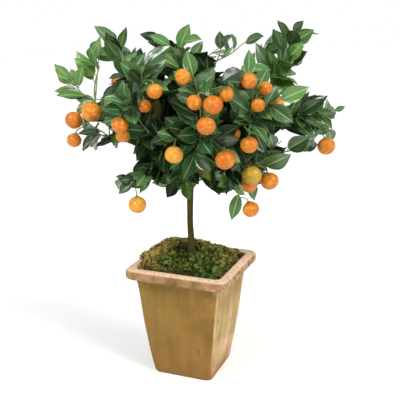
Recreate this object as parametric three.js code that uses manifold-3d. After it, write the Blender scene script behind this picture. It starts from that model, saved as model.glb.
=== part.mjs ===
// Calamondin bonsai: a small citrus tree in fruit, in a tapered square earthenware pot with moss on top.
// Millimetres, +Z up. The origin is the centre of the pot's underside, and the pot's faces look
// along X and Y. The tree is laid out in a frame of its own, turned about Z: X runs across the tree,
// Y runs deep into it and Z runs up, as someone who faces its best side sees it.

import * as THREE from "three";
import Module from "manifold-3d";

const wasm = await Module();
wasm.setup();
const { Manifold, Mesh: SolidMesh } = wasm;

const TREE_TURN = THREE.MathUtils.degToRad(21.2);

// The gap between two pieces that rest on each other, and the smallest detail that a join keeps
const FIT_GAP = 0.35;
const SMALLEST = 0.15;

// Pot, as half widths of its square sections
const POT_HEIGHT = 224;
const BASE_HALF = 61;
const BODY_TOP_HALF = 85;
const RIM_HALF = 103;
const MOUTH_HALF = 84;
const RIM_HEIGHT = 20;
const INNER_BASE_HALF = 52;
const INNER_TOP_HALF = 75.5;
const INNER_TOP_Z = 198;
const FLOOR = 10;
const CORNER_STEPS = 2;
const DRAIN_RADIUS = 6;
const DRAIN_OFFSET = 28;

// Soil and moss
const SOIL_EDGE_Z = 206;
const SOIL_TOP = [[60, 14, 215], [42, 18, 226], [27, 16, 233], [16, 12, 236.5], [6, 4, 237.2]];
const MOSS_SIDE_STEPS = 5;
const MOSS_HALF = 79.6;
const MOSS_HOLE_HALF = 22;
const MOSS_HOLE_CORNER = 14.2;
const MOSS_HOLE_Z = 234.6;
const MOSS_TOP = [[78, 14, 222], [69, 16, 227.5], [55, 18, 233], [42, 18, 238], [31, 17, 241.5],
  [24, 15, 242]];
const MOSS_EDGE_LIFT = 5;
const MOSS_HEAP = 16;
const MOSS_HEAP_END = 0.8;
const MOSS_LUMP = 1.8;

// Wood, in the tree's frame: points as [across, deep, up], with a radius at each or at both ends
const TRUNK_SIDES = 8;
const LIMB_SIDES = 4;
const TRUNK_PATH = [[-2, 0, 196], [-2, 0, 238], [-3, 0, 247], [-3, 0, 262], [-5, 0, 300], [-5, 0, 345],
  [-3, 0, 392]];
const TRUNK_RADII = [7.5, 8.2, 7.6, 6.9, 6, 6.3, 6.3];
const ROOT_COUNT = 5;
const ROOT_SWING = 0.4;
const ROOT_RADII = [3.4, 2];
const ROOT_SHAPE = [[0, 240], [10, 240], [17, 236.5], [24, 228]];
const LIMBS = [
  { path: [[-3, 0, 388], [0, 4, 430], [6, 8, 480], [4, 6, 535], [-5, 2, 580]], radii: [5, 2.4] },
  { path: [[-3, -1, 396], [-60, -20, 432], [-120, -30, 468], [-160, -30, 500]], radii: [3.2, 2.2] },
  { path: [[0, 4, 425], [-45, 18, 478], [-85, 18, 540]], radii: [3, 2.2] },
  { path: [[5, 7, 447], [50, 12, 492], [98, 12, 548]], radii: [3, 2.2] },
  { path: [[-2, 0, 402], [68, -18, 430], [135, -25, 456]], radii: [3.2, 2.3] },
  { path: [[-1, 2, 410], [8, -55, 440], [14, -100, 475]], radii: [3, 2.2] },
  { path: [[-1, 3, 419], [-35, -50, 455], [-75, -85, 490]], radii: [3, 2.2] },
  { path: [[1, 5, 434], [45, -45, 465], [80, -85, 500]], radii: [3, 2.2] },
  { path: [[-1, 3, 415], [-8, 60, 450], [-12, 115, 485]], radii: [3, 2.2] },
  { path: [[1, 5, 438], [-60, 60, 480], [-110, 95, 520]], radii: [3, 2.2] },
  { path: [[4, 7, 457], [65, 60, 490], [115, 95, 530]], radii: [3, 2.2] },
];

// Twigs: a spray has this many, those past its own list grown by rule from its first
const TWIG_SIDES = 3;
const TWIG_RADII = [2, 1.2];
const SIDE_RADII = [0.9, 1.3];
const SPRAY_TWIGS = 4;
const SIDE_LENGTH = [46, 86];
const SIDE_PITCH = [0.8, 1.3];
const SIDE_TURN = 3;
const SIDE_OUTWARD = 0.7;
const SIDE_START = 0.8;
const TWIG_CLEAR = 3.6;

// Leaves, with the least and most of what varies: angles in radians, the half width as a share of the
// length. A blade is pointed at both ends and lofted through stations, as [share of the length, share
// of the half width, rise of the midrib above the blade's middle, keel below it]
const LEAF_STEP = 21;
const LEAF_BARE = 0.12;
const LEAF_LENGTH = [43, 65];
const LEAF_HALF = [0.22, 0.27];
const LEAF_BEND = [0.15, 0.7];
const LEAF_FOLD = [0.12, 0.42];
const LEAF_PITCH = [0.85, 1.2];
const END_LEAF_PITCH = [0.1, 0.45];
const LEAF_ROLL = [-0.45, 0.45];
const LEAF_OUTWARD = 0.35;
const FACE_UP = 0.7;
const FACE_OUTWARD = 0.5;
const LEAF_ROOT_IN = 0.3;
const LEAF_STATIONS = [[0, 0, 0, 0], [0.26, 0.82, 0.6, 1.8], [0.64, 0.92, 0.6, 0.7], [1, 0, 0, 0]];
const LEAF_TRIES = 12;
const RETRY_ROLL = 0.3;
const RETRY_TURN = 0.5;
const LEAF_ROOM = 6;
const SAMPLE_STEP = 4;
const SAMPLE_FROM = 0.2;
const SAMPLE_FREE = 0.35;
const TURN_PER_LEAF = THREE.MathUtils.degToRad(137.5);
const CROWN_CENTRE = new THREE.Vector3(10, 0, 470);

// The crown's outline is a box with very round corners, narrower below its waist
const CROWN_MIDDLE = new THREE.Vector3(16, 0, 500);
const CROWN_REACH = new THREE.Vector3(266, 205, 160);
const CROWN_WAIST_Z = 440;
const CROWN_FOOT_Z = 335;
const CROWN_FOOT_SHARE = 0.5;

// Fruits
const FRUIT_FACETS = [8, 6];
const FRUIT_FLATNESS = 0.94;
const FRUIT_CLEAR = 1.6;
const STALK_ROOT = 0.8;
const STALK_RADIUS = 1.2;
const STALK_RISE = 3.2;
const STALK_TO_TWIG = 0.6;
const STALK_UP = 0.8;
const CALYX_RADIUS = 3.6;

const UP = new THREE.Vector3(0, 0, 1);

// Leafy sprays, in the tree's frame. Each grows along its first twig, which leaves a limb or the
// trunk, its other twigs leave the first, and the tips are where its outermost leaves end.
const SPRAYS = {
  top_left: {
    twigs: [[[-85, 18, 540], [-115, 25, 585], [-141, 28, 634]]],
    tips: [[-184, 40, 672], [-122, 25, 671], [-196, 35, 626], [-106, 34, 634], [-158, 12, 586]],
  },
  left_upper: {
    twigs: [
      [[-160, -30, 500], [-178, -22, 540], [-180, 0, 570], [-172, 10, 602]],
      [[-178, -22, 540], [-202, -25, 555], [-220, -22, 580]],
    ],
    tips: [[-218, 30, 627], [-228, 20, 594], [-250, -20, 595], [-241, -32, 549], [-183, -38, 574],
      [-210, -45, 526]],
  },
  left_mid: {
    twigs: [
      [[-120, -30, 468], [-150, -52, 478], [-185, -46, 486], [-196, -44, 503]],
      [[-150, -52, 478], [-150, -72, 510], [-160, -84, 550]],
    ],
    tips: [[-174, -70, 463], [-128, -84, 452]],
  },
  upper_left: {
    twigs: [[[-45, 18, 478], [-82, -10, 525], [-114, -40, 560], [-118, -25, 595]]],
    tips: [[-144, -52, 592], [-106, -52, 604], [-100, -8, 628], [-72, -24, 598]],
  },
  top: {
    twigs: [
      [[-5, 2, 580], [-18, -4, 606], [-25, -5, 630]],
      [[-18, -4, 606], [-38, 14, 634]],
      [[-11, 0, 592], [-22, -44, 600]],
    ],
    tips: [[-81, 20, 656], [-74, -64, 627], [-5, -5, 677]],
  },
  top_right: {
    twigs: [
      [[5, 7, 505], [24, 6, 570], [45, 5, 610], [52, 6, 628]],
      [[24, 6, 570], [4, -8, 600]],
      [[45, 5, 610], [72, 30, 622], [97, 54, 640]],
      [[24, 6, 570], [60, -18, 584], [92, -30, 598]],
    ],
    tips: [[10, 0, 658], [50, 10, 664], [76, 14, 636], [74, 62, 657], [114, -20, 627], [141, -46, 597]],
  },
  tall_right: {
    twigs: [[[98, 12, 548], [142, 12, 562], [170, 14, 600], [179, 17, 638], [184, 18, 660]]],
    tips: [[116, 10, 643], [156, 20, 683], [205, 22, 682], [214, 14, 651], [208, 20, 636], [203, 20, 614],
      [139, 5, 628]],
  },
  right_upper: {
    twigs: [[[135, -25, 456], [165, -12, 492], [200, -6, 513], [236, -5, 508], [264, 0, 518]]],
    tips: [[204, -10, 557], [217, -5, 556], [229, -10, 551], [243, -10, 543], [270, 5, 500], [285, 0, 527],
      [176, -36, 534], [258, -12, 480]],
  },
  right_low: {
    twigs: [
      [[85, -20, 437], [122, -45, 445], [152, -42, 447], [190, -36, 454], [226, -32, 482]],
      [[122, -45, 445], [142, -72, 460], [160, -78, 476]],
    ],
    tips: [[254, -22, 486], [190, -32, 430], [174, -77, 446], [147, -87, 437], [172, -84, 500]],
  },
  front_right: {
    twigs: [
      [[80, -85, 500], [100, -105, 525], [104, -116, 560], [100, -122, 592]],
      [[100, -105, 525], [99, -130, 515], [96, -150, 508]],
    ],
    tips: [[118, -124, 490], [81, -137, 518], [52, -137, 539], [118, -118, 628]],
  },
  front_mid: {
    twigs: [
      [[14, -100, 475], [16, -124, 510], [14, -136, 550], [4, -132, 592]],
      [[15, -112, 492], [40, -130, 482], [52, -138, 474]],
      [[16, -124, 510], [22, -155, 535], [30, -172, 566]],
      [[15, -112, 492], [-12, -116, 497], [-26, -138, 490]],
    ],
    tips: [[53, -150, 522], [15, -150, 494]],
  },
  front_left: {
    twigs: [
      [[-75, -85, 490], [-96, -88, 520], [-100, -98, 555], [-80, -108, 586]],
      [[-96, -88, 520], [-108, -116, 534], [-116, -134, 537]],
    ],
    tips: [[-128, -112, 540], [-60, -112, 610]],
  },
  low_left: {
    twigs: [[[-3, -1, 389], [-40, -34, 404], [-76, -60, 406], [-112, -80, 406]]],
    tips: [[-137, -86, 413], [-96, -82, 380], [-92, -96, 418], [-65, -86, 404]],
  },
  low_right: {
    twigs: [
      [[-1, -2, 382], [42, -42, 402], [82, -72, 404], [94, -76, 426], [102, -94, 446]],
      [[82, -72, 404], [84, -98, 388], [80, -111, 381]],
    ],
    tips: [[26, -62, 369], [69, -90, 374], [70, -112, 338]],
  },
  trunk_sprout: {
    twigs: [[[-4, -1, 374], [-18, -24, 390], [-32, -34, 397]]],
    tips: [[-5, -48, 357], [-49, -25, 357]],
  },
  back_left: {
    twigs: [
      [[-110, 95, 520], [-124, 108, 552], [-128, 120, 596]],
      [[-117, 101, 536], [-152, 95, 514], [-188, 78, 522]],
      [[-117, 101, 536], [-105, 130, 540], [-98, 145, 534]],
    ],
    tips: [[-232, 70, 535], [-150, 140, 635]],
  },
  back: {
    twigs: [[[-12, 115, 485], [-10, 138, 515], [-8, 146, 555], [-4, 138, 600]]],
    tips: [[20, 150, 640], [-40, 175, 600]],
  },
  back_right: {
    twigs: [
      [[115, 95, 530], [130, 108, 560], [140, 112, 600], [134, 100, 636]],
      [[122, 101, 544], [155, 92, 520], [192, 74, 508]],
    ],
    tips: [[234, 60, 520], [165, 120, 660]],
  },
  back_top: {
    twigs: [
      [[4, 6, 535], [-4, 40, 574], [-28, 64, 614], [-42, 70, 640]],
      [[-16, 52, 594], [24, 70, 612], [52, 84, 630]],
    ],
    tips: [[-62, 82, 672], [80, 100, 655], [-14, 78, 662]],
  },
  back_low: {
    twigs: [
      [[-8, 60, 450], [-40, 95, 436], [-68, 130, 430]],
      [[-20, 73, 445], [30, 108, 440], [78, 132, 450]],
    ],
    tips: [[-100, 150, 400], [115, 160, 430], [0, 120, 395]],
  },
};

// Fruits, in the tree's frame: the spray that bears it, its middle, its radius and its ripeness
const FRUITS = [
  ["left_mid", [-176, -90, 529], 18, "orange"],
  ["left_mid", [-213, -55, 509], 16.2, "orange"],
  ["left_mid", [-213, -63, 474], 13.4, "orange"],
  ["front_left", [-121, -142, 514], 14.6, "orange"],
  ["front_left", [-120, -108, 490], 12.6, "orange"],
  ["front_left", [-61, -150, 571], 13.2, "orange"],
  ["front_left", [-80, -122, 543], 11.4, "orange"],
  ["front_mid", [-14, -152, 595], 13.6, "orange"],
  ["front_mid", [5, -176, 556], 13, "orange"],
  ["front_mid", [35, -190, 554], 16.2, "orange"],
  ["front_mid", [57, -152, 567], 13.4, "orange"],
  ["front_mid", [24, -190, 520], 15.6, "orange"],
  ["front_mid", [-29, -92, 488], 14.1, "orange"],
  ["front_mid", [-30, -152, 465], 15.8, "amber"],
  ["front_right", [94, -156, 589], 13.6, "orange"],
  ["front_right", [124, -128, 574], 12, "orange"],
  ["front_right", [111, -142, 547], 12.2, "orange"],
  ["front_right", [147, -100, 543], 12.6, "amber"],
  ["front_right", [71, -130, 498], 12.2, "orange"],
  ["front_right", [96, -162, 484], 14.8, "orange"],
  ["front_mid", [56, -167, 459], 16.8, "orange"],
  ["low_right", [104, -128, 424], 17.2, "green"],
  ["low_right", [137, -108, 409], 16.2, "orange"],
  ["low_right", [102, -91, 398], 15, "orange"],
  ["low_right", [104, -117, 360], 14.9, "orange"],
  ["low_left", [-99, -90, 361], 16.3, "amber"],
  ["right_low", [248, -30, 457], 16.7, "orange"],
  ["back_left", [-150, 120, 560], 15.2, "orange"],
  ["back_left", [-96, 150, 508], 16, "orange"],
  ["back_left", [-176, 86, 494], 14, "amber"],
  ["back", [-30, 176, 560], 14.8, "orange"],
  ["back", [12, 166, 500], 16, "orange"],
  ["back_right", [108, 142, 562], 15, "orange"],
  ["back_right", [166, 120, 522], 15.6, "orange"],
  ["back_low", [-60, 122, 403], 15, "orange"],
  ["back_low", [92, 134, 424], 15.4, "green"],
];

const COLOURS = {
  pot: ["#b58a52", 0.85],
  soil: ["#2e2119", 0.95],
  moss: ["#5a6a25", 0.95],
  wood: ["#5d4a30", 0.85],
  leaf: ["#2c5a24", 0.45],
  orange: ["#f08a1e", 0.4],
  amber: ["#f2a62c", 0.4],
  green: ["#b9a52e", 0.4],
};

const vec = ([x, y, z]) => new THREE.Vector3(x, y, z);

// A linear congruential generator, exact in double precision
function seeded(seed) {
  let state = seed;
  return () => {
    state = (state * 1664525 + 1013904223) % 4294967296;
    return state / 4294967296;
  };
}

const between = ([least, most], random) => least + (most - least) * random();

// Solids

function solidFrom(points, faces) {
  const vertProperties = new Float32Array(points.flatMap((p) => [p.x, p.y, p.z]));
  const triVerts = new Uint32Array(faces.flat());
  return new Manifold(new SolidMesh({ numProp: 3, vertProperties, triVerts }));
}

function geometryOf(solid) {
  const { vertProperties, triVerts } = solid.getMesh();
  const geometry = new THREE.BufferGeometry();
  geometry.setAttribute("position", new THREE.BufferAttribute(vertProperties, 3));
  geometry.setIndex(new THREE.BufferAttribute(triVerts, 1));
  return geometry;
}

// The faces of the bands between rings of equal count
function bandFaces(ringCount, count, closed) {
  const faces = [];
  const total = ringCount * count;
  const bands = closed ? ringCount : ringCount - 1;
  for (let ring = 0; ring < bands; ring += 1) {
    for (let i = 0; i < count; i += 1) {
      const a = ring * count + i;
      const b = ring * count + (i + 1) % count;
      const [c, d] = [(b + count) % total, (a + count) % total];
      faces.push([a, b, c], [a, c, d]);
    }
  }
  return faces;
}

// A closed solid through rings, each anticlockwise as seen from the far end
function loft(rings) {
  const count = rings[0].length;
  const faces = bandFaces(rings.length, count, false);
  const last = (rings.length - 1) * count;
  for (let i = 1; i + 1 < count; i += 1) {
    faces.push([0, i + 1, i], [last, last + i, last + i + 1]);
  }
  return solidFrom(rings.flat(), faces);
}

// A solid with a hole through it, whose rings come back to the first
function hoop(rings) {
  return solidFrom(rings.flat(), bandFaces(rings.length, rings[0].length, true));
}

// A square ring with round corners, its straight sides split into steps
function squareRing(half, corner, z, sideSteps = 1) {
  const ring = [];
  for (let side = 0; side < 4; side += 1) {
    const turned = (x, y) => vec([x, y, z]).applyAxisAngle(UP, side * Math.PI / 2);
    const straight = half - corner;
    for (let step = 1; step < sideSteps; step += 1) {
      ring.push(turned(half, straight * (2 * step / sideSteps - 1)));
    }
    for (let step = 0; step <= CORNER_STEPS; step += 1) {
      const turn = step / CORNER_STEPS * Math.PI / 2;
      ring.push(turned(straight + corner * Math.cos(turn), straight + corner * Math.sin(turn)));
    }
  }
  return ring;
}

// A tube of flat facets along a path of points, with a radius at each
function tube(path, radii, sides) {
  let across = vec([1, 0.2, 0.1]);
  return loft(path.map((point, i) => {
    const before = path[Math.max(i - 1, 0)];
    const after = path[Math.min(i + 1, path.length - 1)];
    const along = after.clone().sub(before).normalize();
    across = across.clone().addScaledVector(along, -across.dot(along)).normalize();
    const over = along.clone().cross(across);
    return Array.from({ length: sides }, (_, k) => {
      const turn = k * 2 * Math.PI / sides;
      return point.clone()
        .addScaledVector(across, radii[i] * Math.cos(turn))
        .addScaledVector(over, radii[i] * Math.sin(turn));
    });
  }));
}

function taper(path, [first, last]) {
  return path.map((_, i) => first + (last - first) * i / (path.length - 1));
}

// A rod of wood: its path, its radii and its side count
function rodOf(points, radii, sides) {
  const path = points.map(vec);
  return { path, radii: radii.length === path.length ? radii : taper(path, radii), sides };
}

const rodSolid = ({ path, radii, sides }) => tube(path, radii, sides);

// The same rod, larger all round by the gap that a neighbour keeps
function rodRoom({ path, radii, sides }) {
  const end = path.length - 1;
  const grown = path.map((point) => point.clone());
  grown[0].addScaledVector(path[0].clone().sub(path[1]).normalize(), FIT_GAP);
  grown[end].addScaledVector(path[end].clone().sub(path[end - 1]).normalize(), FIT_GAP);
  const widen = FIT_GAP / Math.cos(Math.PI / sides);
  return tube(grown, radii.map((radius) => radius + widen), sides);
}

// The largest body of a join or cut, without slivers
function mainBody(solid) {
  return solid.simplify(SMALLEST).decompose().sort((a, b) => b.volume() - a.volume())[0];
}

// Pot, soil and moss

const BODY_TOP = POT_HEIGHT - RIM_HEIGHT;

function makePot() {
  const vessel = loft([
    squareRing(BASE_HALF - 1.5, 12, 0),
    squareRing(BASE_HALF, 13, 3),
    squareRing((BASE_HALF + BODY_TOP_HALF) / 2 + 0.6, 8, BODY_TOP / 2),
    squareRing(BODY_TOP_HALF, 6, BODY_TOP - 2),
    squareRing(BODY_TOP_HALF + 2, 7, BODY_TOP),
    squareRing(RIM_HALF - 4, 15, BODY_TOP + 1),
    squareRing(RIM_HALF - 0.8, 17, BODY_TOP + 5),
    squareRing(RIM_HALF, 17, POT_HEIGHT - 7),
    squareRing(RIM_HALF - 1.2, 17, POT_HEIGHT - 2),
    squareRing(RIM_HALF - 5, 15, POT_HEIGHT),
    squareRing(MOUTH_HALF + 3, 12, POT_HEIGHT),
    squareRing(MOUTH_HALF - 1, 11, POT_HEIGHT - 3),
    squareRing(INNER_TOP_HALF, 9, INNER_TOP_Z),
    squareRing(INNER_BASE_HALF, 8, FLOOR),
  ]);
  const drains = [[1, 1], [-1, 1], [-1, -1], [1, -1]].map(([x, y]) => {
    const path = [-FLOOR, 2 * FLOOR].map((z) => vec([x * DRAIN_OFFSET, y * DRAIN_OFFSET, z]));
    return tube(path, [DRAIN_RADIUS, DRAIN_RADIUS], 8);
  });
  return vessel.subtract(Manifold.union(drains));
}

// The soil's ring where it meets the pot's inner wall, at the height of its edge
function soilEdge(sideSteps) {
  const share = (SOIL_EDGE_Z - INNER_TOP_Z) / (POT_HEIGHT - 3 - INNER_TOP_Z);
  const half = INNER_TOP_HALF + share * (MOUTH_HALF - 1 - INNER_TOP_HALF);
  return squareRing(half - FIT_GAP, 9, SOIL_EDGE_Z, sideSteps);
}

function makeSoil(woodRoom) {
  const fill = loft([
    squareRing(INNER_BASE_HALF - FIT_GAP, 8, FLOOR + FIT_GAP),
    squareRing(INNER_TOP_HALF - FIT_GAP, 9, INNER_TOP_Z),
    soilEdge(1),
    ...SOIL_TOP.map(([half, corner, z]) => squareRing(half, corner, z)),
  ]);
  return mainBody(fill.subtract(woodRoom));
}

// The moss bulges in low cushions and is heaped up high at one corner
function mossRelief(point) {
  const side = Math.min((0.6 * point.y - 0.8 * point.x) / MOSS_HALF, MOSS_HEAP_END);
  const lift = side * (side > 0 ? MOSS_HEAP : MOSS_EDGE_LIFT);
  const edge = Math.min(1, Math.hypot(point.x, point.y) / MOSS_HALF);
  const lumps = Math.sin(0.115 * point.x + 1) * Math.cos(0.14 * point.y)
    + 0.6 * Math.sin(0.27 * point.x - 0.21 * point.y);
  return lift * edge ** 3 + MOSS_LUMP * lumps;
}

function makeMoss() {
  const lifted = (ring) => ring.map((point) => point.clone().addScaledVector(UP, FIT_GAP));
  const under = [
    soilEdge(MOSS_SIDE_STEPS),
    ...SOIL_TOP.slice(0, 3).map(([half, corner, z]) => squareRing(half, corner, z, MOSS_SIDE_STEPS)),
    squareRing(MOSS_HOLE_HALF, MOSS_HOLE_CORNER, MOSS_HOLE_Z, MOSS_SIDE_STEPS),
  ].map(lifted);
  const above = MOSS_TOP.map(([half, corner, z]) => squareRing(half, corner, z, MOSS_SIDE_STEPS)
    .map((point) => point.clone().addScaledVector(UP, mossRelief(point))));
  const side = squareRing(MOSS_HALF, 11, SOIL_EDGE_Z + 9, MOSS_SIDE_STEPS);
  return hoop([...under.reverse(), side, ...above]);
}

// Wood

function makeRods() {
  const roots = Array.from({ length: ROOT_COUNT }, (_, k) => {
    const turn = k * 2 * Math.PI / ROOT_COUNT + ROOT_SWING * Math.sin(5 * k);
    const [x, y] = TRUNK_PATH[1];
    const path = ROOT_SHAPE.map(([out, z]) => [x + out * Math.cos(turn), y + out * Math.sin(turn), z]);
    return rodOf(path, ROOT_RADII, LIMB_SIDES);
  });
  const trunk = rodOf(TRUNK_PATH, TRUNK_RADII, TRUNK_SIDES);
  return [trunk, ...roots, ...LIMBS.map(({ path, radii }) => rodOf(path, radii, LIMB_SIDES))];
}

function inCrown({ point }) {
  const waist = THREE.MathUtils.clamp((point.z - CROWN_FOOT_Z) / (CROWN_WAIST_Z - CROWN_FOOT_Z), 0, 1);
  const width = CROWN_FOOT_SHARE + (1 - CROWN_FOOT_SHARE) * waist;
  const { x, y, z } = point.clone().sub(CROWN_MIDDLE).divide(CROWN_REACH);
  return ((x / width) ** 4 + (y / width) ** 4 + z ** 4) < 1;
}

// The room in the crown: what a new twig or leaf must stay clear of

class Room {
  constructor() {
    this.rods = [];
    this.balls = [];
    this.cells = new Map();
  }

  addRod(path, radius, owner) {
    for (let i = 0; i + 1 < path.length; i += 1) {
      this.rods.push({ line: new THREE.Line3(path[i], path[i + 1]), radius, owner });
    }
  }

  addBall(middle, radius) {
    this.balls.push({ middle, radius });
  }

  cellOf(point, [i, j, k] = [0, 0, 0]) {
    const cell = (value) => Math.floor(value / LEAF_ROOM);
    return `${cell(point.x) + i},${cell(point.y) + j},${cell(point.z) + k}`;
  }

  addPoints(points) {
    for (const point of points) {
      const cell = this.cellOf(point);
      this.cells.set(cell, [...(this.cells.get(cell) ?? []), point]);
    }
  }

  hasLeafNear(point) {
    return NEIGHBOURS.some((step) => (this.cells.get(this.cellOf(point, step)) ?? [])
      .some((other) => other.distanceTo(point) < LEAF_ROOM));
  }

  hitsBall(point) {
    return this.balls.some(({ middle, radius }) => middle.distanceTo(point) < radius + FRUIT_CLEAR);
  }

  // Rods of the owner are passed over, near the place where the new piece leaves them
  hitsRod(point, owner) {
    const nearest = new THREE.Vector3();
    return this.rods.some(({ line, radius, owner: other }) => other !== owner
      && line.closestPointToPoint(point, true, nearest).distanceTo(point) < radius + TWIG_CLEAR);
  }

  isClear(samples, owner) {
    return samples.every(({ point, free }) => !this.hitsBall(point)
      && !this.hitsRod(point, free ? null : owner) && !this.hasLeafNear(point));
  }
}

const NEIGHBOURS = [-1, 0, 1].flatMap((i) => [-1, 0, 1].flatMap((j) => [-1, 0, 1].map((k) => [i, j, k])));

// Twigs

// The place and direction at a distance along a path
function spotOn(path, distance) {
  let left = distance;
  for (let i = 0; i + 1 < path.length; i += 1) {
    const length = path[i].distanceTo(path[i + 1]);
    if (left <= length || i + 2 === path.length) {
      const along = path[i + 1].clone().sub(path[i]).normalize();
      return { point: path[i].clone().addScaledVector(along, Math.min(left, length)), along };
    }
    left -= length;
  }
  return null;
}

const lengthOf = (path) => path.slice(1).reduce((sum, point, i) => sum + point.distanceTo(path[i]), 0);

const outwardFrom = (point) => point.clone().sub(CROWN_CENTRE).normalize();

// A direction that leaves `along` at a pitch, turned about it
function leaving(along, pitch, turn) {
  const across = along.clone().cross(Math.abs(along.z) < 0.9 ? UP : vec([1, 0, 0])).normalize();
  const over = across.clone().cross(along);
  return along.clone().multiplyScalar(Math.cos(pitch))
    .addScaledVector(across, Math.sin(pitch) * Math.cos(turn))
    .addScaledVector(over, Math.sin(pitch) * Math.sin(turn));
}

function sideTwig(spot, turn, random) {
  const pitch = between(SIDE_PITCH, random);
  const length = between(SIDE_LENGTH, random);
  const along = leaving(spot.along, pitch, turn + SIDE_TURN * random())
    .addScaledVector(outwardFrom(spot.point), SIDE_OUTWARD)
    .normalize();
  return [spot.point, spot.point.clone().addScaledVector(along, length)];
}

function twigSamples(path) {
  const length = lengthOf(path);
  const count = Math.ceil(length / SAMPLE_STEP);
  return Array.from({ length: count }, (_, i) => {
    const share = (i + 1) / count;
    return { point: spotOn(path, share * length).point, free: share > SAMPLE_FREE };
  });
}

function growSideTwigs(name, twigs, room, random) {
  const parent = twigs[0];
  const count = SPRAY_TWIGS - twigs.length;
  for (let k = 0; k < count; k += 1) {
    const spot = spotOn(parent, lengthOf(parent) * (k + SIDE_START) / count);
    for (let attempt = 0; attempt < LEAF_TRIES; attempt += 1) {
      const path = sideTwig(spot, k * TURN_PER_LEAF, random);
      const samples = twigSamples(path);
      if (samples.every(inCrown) && room.isClear(samples, name)) {
        twigs.push(path);
        room.addRod(path, TWIG_RADII[0], name);
        break;
      }
    }
  }
}

// Leaves

// A blade bends along an arc and folds up along its midrib; share runs along it, and across from -1 to 1
function bladePoint({ root, along, face, length, half, bend, fold }, share, across, lift = 0) {
  const turn = bend * share;
  const middle = root.clone()
    .addScaledVector(along, length * Math.sin(turn) / bend)
    .addScaledVector(face, -length * (1 - Math.cos(turn)) / bend);
  const normal = face.clone().multiplyScalar(Math.cos(turn)).addScaledVector(along, Math.sin(turn));
  const side = along.clone().cross(face);
  const width = half * across;
  return middle
    .addScaledVector(side, width * Math.cos(fold))
    .addScaledVector(normal, Math.abs(width) * Math.sin(fold) + lift);
}

function widthShare(share) {
  const next = LEAF_STATIONS.findIndex(([at]) => at >= share);
  if (next <= 0) {
    return LEAF_STATIONS[Math.max(next, 0)][1];
  }
  const [[at0, width0], [at1, width1]] = LEAF_STATIONS.slice(next - 1, next + 1);
  return width0 + (width1 - width0) * (share - at0) / (at1 - at0);
}

function bladeSamples(leaf) {
  const steps = Math.ceil(leaf.length * (1 - SAMPLE_FROM) / SAMPLE_STEP);
  const samples = [];
  for (let i = 0; i <= steps; i += 1) {
    const share = SAMPLE_FROM + (1 - SAMPLE_FROM) * i / steps;
    for (const across of [-1, -0.5, 0, 0.5, 1]) {
      const point = bladePoint(leaf, share, across * widthShare(share));
      samples.push({ point, free: share > SAMPLE_FREE });
    }
  }
  return samples;
}

function leafShape(root, along, face, length, random) {
  return {
    root,
    along,
    face,
    length,
    half: length * between(LEAF_HALF, random),
    bend: between(LEAF_BEND, random),
    fold: between(LEAF_FOLD, random),
  };
}

// The upper side looks up and outward, as far as the blade's direction lets it
function faceFor(along, root, roll) {
  const wanted = UP.clone().multiplyScalar(FACE_UP).addScaledVector(outwardFrom(root), FACE_OUTWARD);
  return wanted.addScaledVector(along, -wanted.dot(along)).normalize().applyAxisAngle(along, roll);
}

function nearestOn(twigs, tip) {
  let best = null;
  for (const path of twigs) {
    for (let i = 0; i + 1 < path.length; i += 1) {
      const line = new THREE.Line3(path[i], path[i + 1]);
      const point = line.closestPointToPoint(tip, true, new THREE.Vector3());
      if (best === null || point.distanceTo(tip) < best.distanceTo(tip)) {
        best = point;
      }
    }
  }
  return best;
}

// A leaf from the nearest twig to a given tip
function leafToTip(twigs, tip, roll, random) {
  const root = nearestOn(twigs, tip);
  const chord = tip.clone().sub(root);
  const reach = chord.length();
  chord.normalize();
  const leaf = leafShape(root, chord, faceFor(chord, root, roll), reach, random);
  const { along, face, bend } = leaf;
  leaf.along = along.clone().multiplyScalar(Math.cos(bend / 2)).addScaledVector(face, Math.sin(bend / 2));
  leaf.face = face.clone().multiplyScalar(Math.cos(bend / 2)).addScaledVector(along, -Math.sin(bend / 2));
  leaf.length = reach * (bend / 2) / Math.sin(bend / 2);
  return leaf;
}

// A leaf from a spot on a twig, turned about it
function leafFromSpot(spot, pitch, turn, random) {
  const along = leaving(spot.along, between(pitch, random), turn)
    .addScaledVector(outwardFrom(spot.point), LEAF_OUTWARD)
    .normalize();
  const face = faceFor(along, spot.point, between(LEAF_ROLL, random));
  return leafShape(spot.point, along, face, between(LEAF_LENGTH, random), random);
}

// The first clear leaf of several tries, kept in the room
function settle(name, room, leaves, isInside, tryLeaf) {
  for (let attempt = 0; attempt < LEAF_TRIES; attempt += 1) {
    const leaf = tryLeaf(attempt);
    const samples = bladeSamples(leaf);
    if (samples.every(isInside) && room.isClear(samples, name)) {
      leaves.push(leaf);
      room.addPoints(samples.map(({ point }) => point));
      return true;
    }
  }
  return false;
}

// First the leaves that end at the listed tips, then those that stand along the twigs
function growTipLeaves(name, spray, room, random) {
  for (const tip of SPRAYS[name].tips) {
    settle(name, room, spray.leaves, () => true, (attempt) => {
      const roll = (attempt % 2 ? -1 : 1) * RETRY_ROLL * Math.ceil(attempt / 2);
      return leafToTip(spray.twigs, vec(tip), roll, random);
    });
  }
}

function growLeaves(name, spray, room, random) {
  spray.twigs.forEach((path, twig) => {
    const length = lengthOf(path);
    const count = Math.floor(length * (1 - LEAF_BARE) / LEAF_STEP);
    for (let k = 0; k <= count; k += 1) {
      const spot = spotOn(path, length - k * LEAF_STEP);
      const pitch = k === 0 ? END_LEAF_PITCH : LEAF_PITCH;
      const turn = k * TURN_PER_LEAF + twig;
      settle(name, room, spray.leaves, inCrown,
        (attempt) => leafFromSpot(spot, pitch, turn + RETRY_TURN * attempt * random(), random));
    }
  });
}

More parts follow.
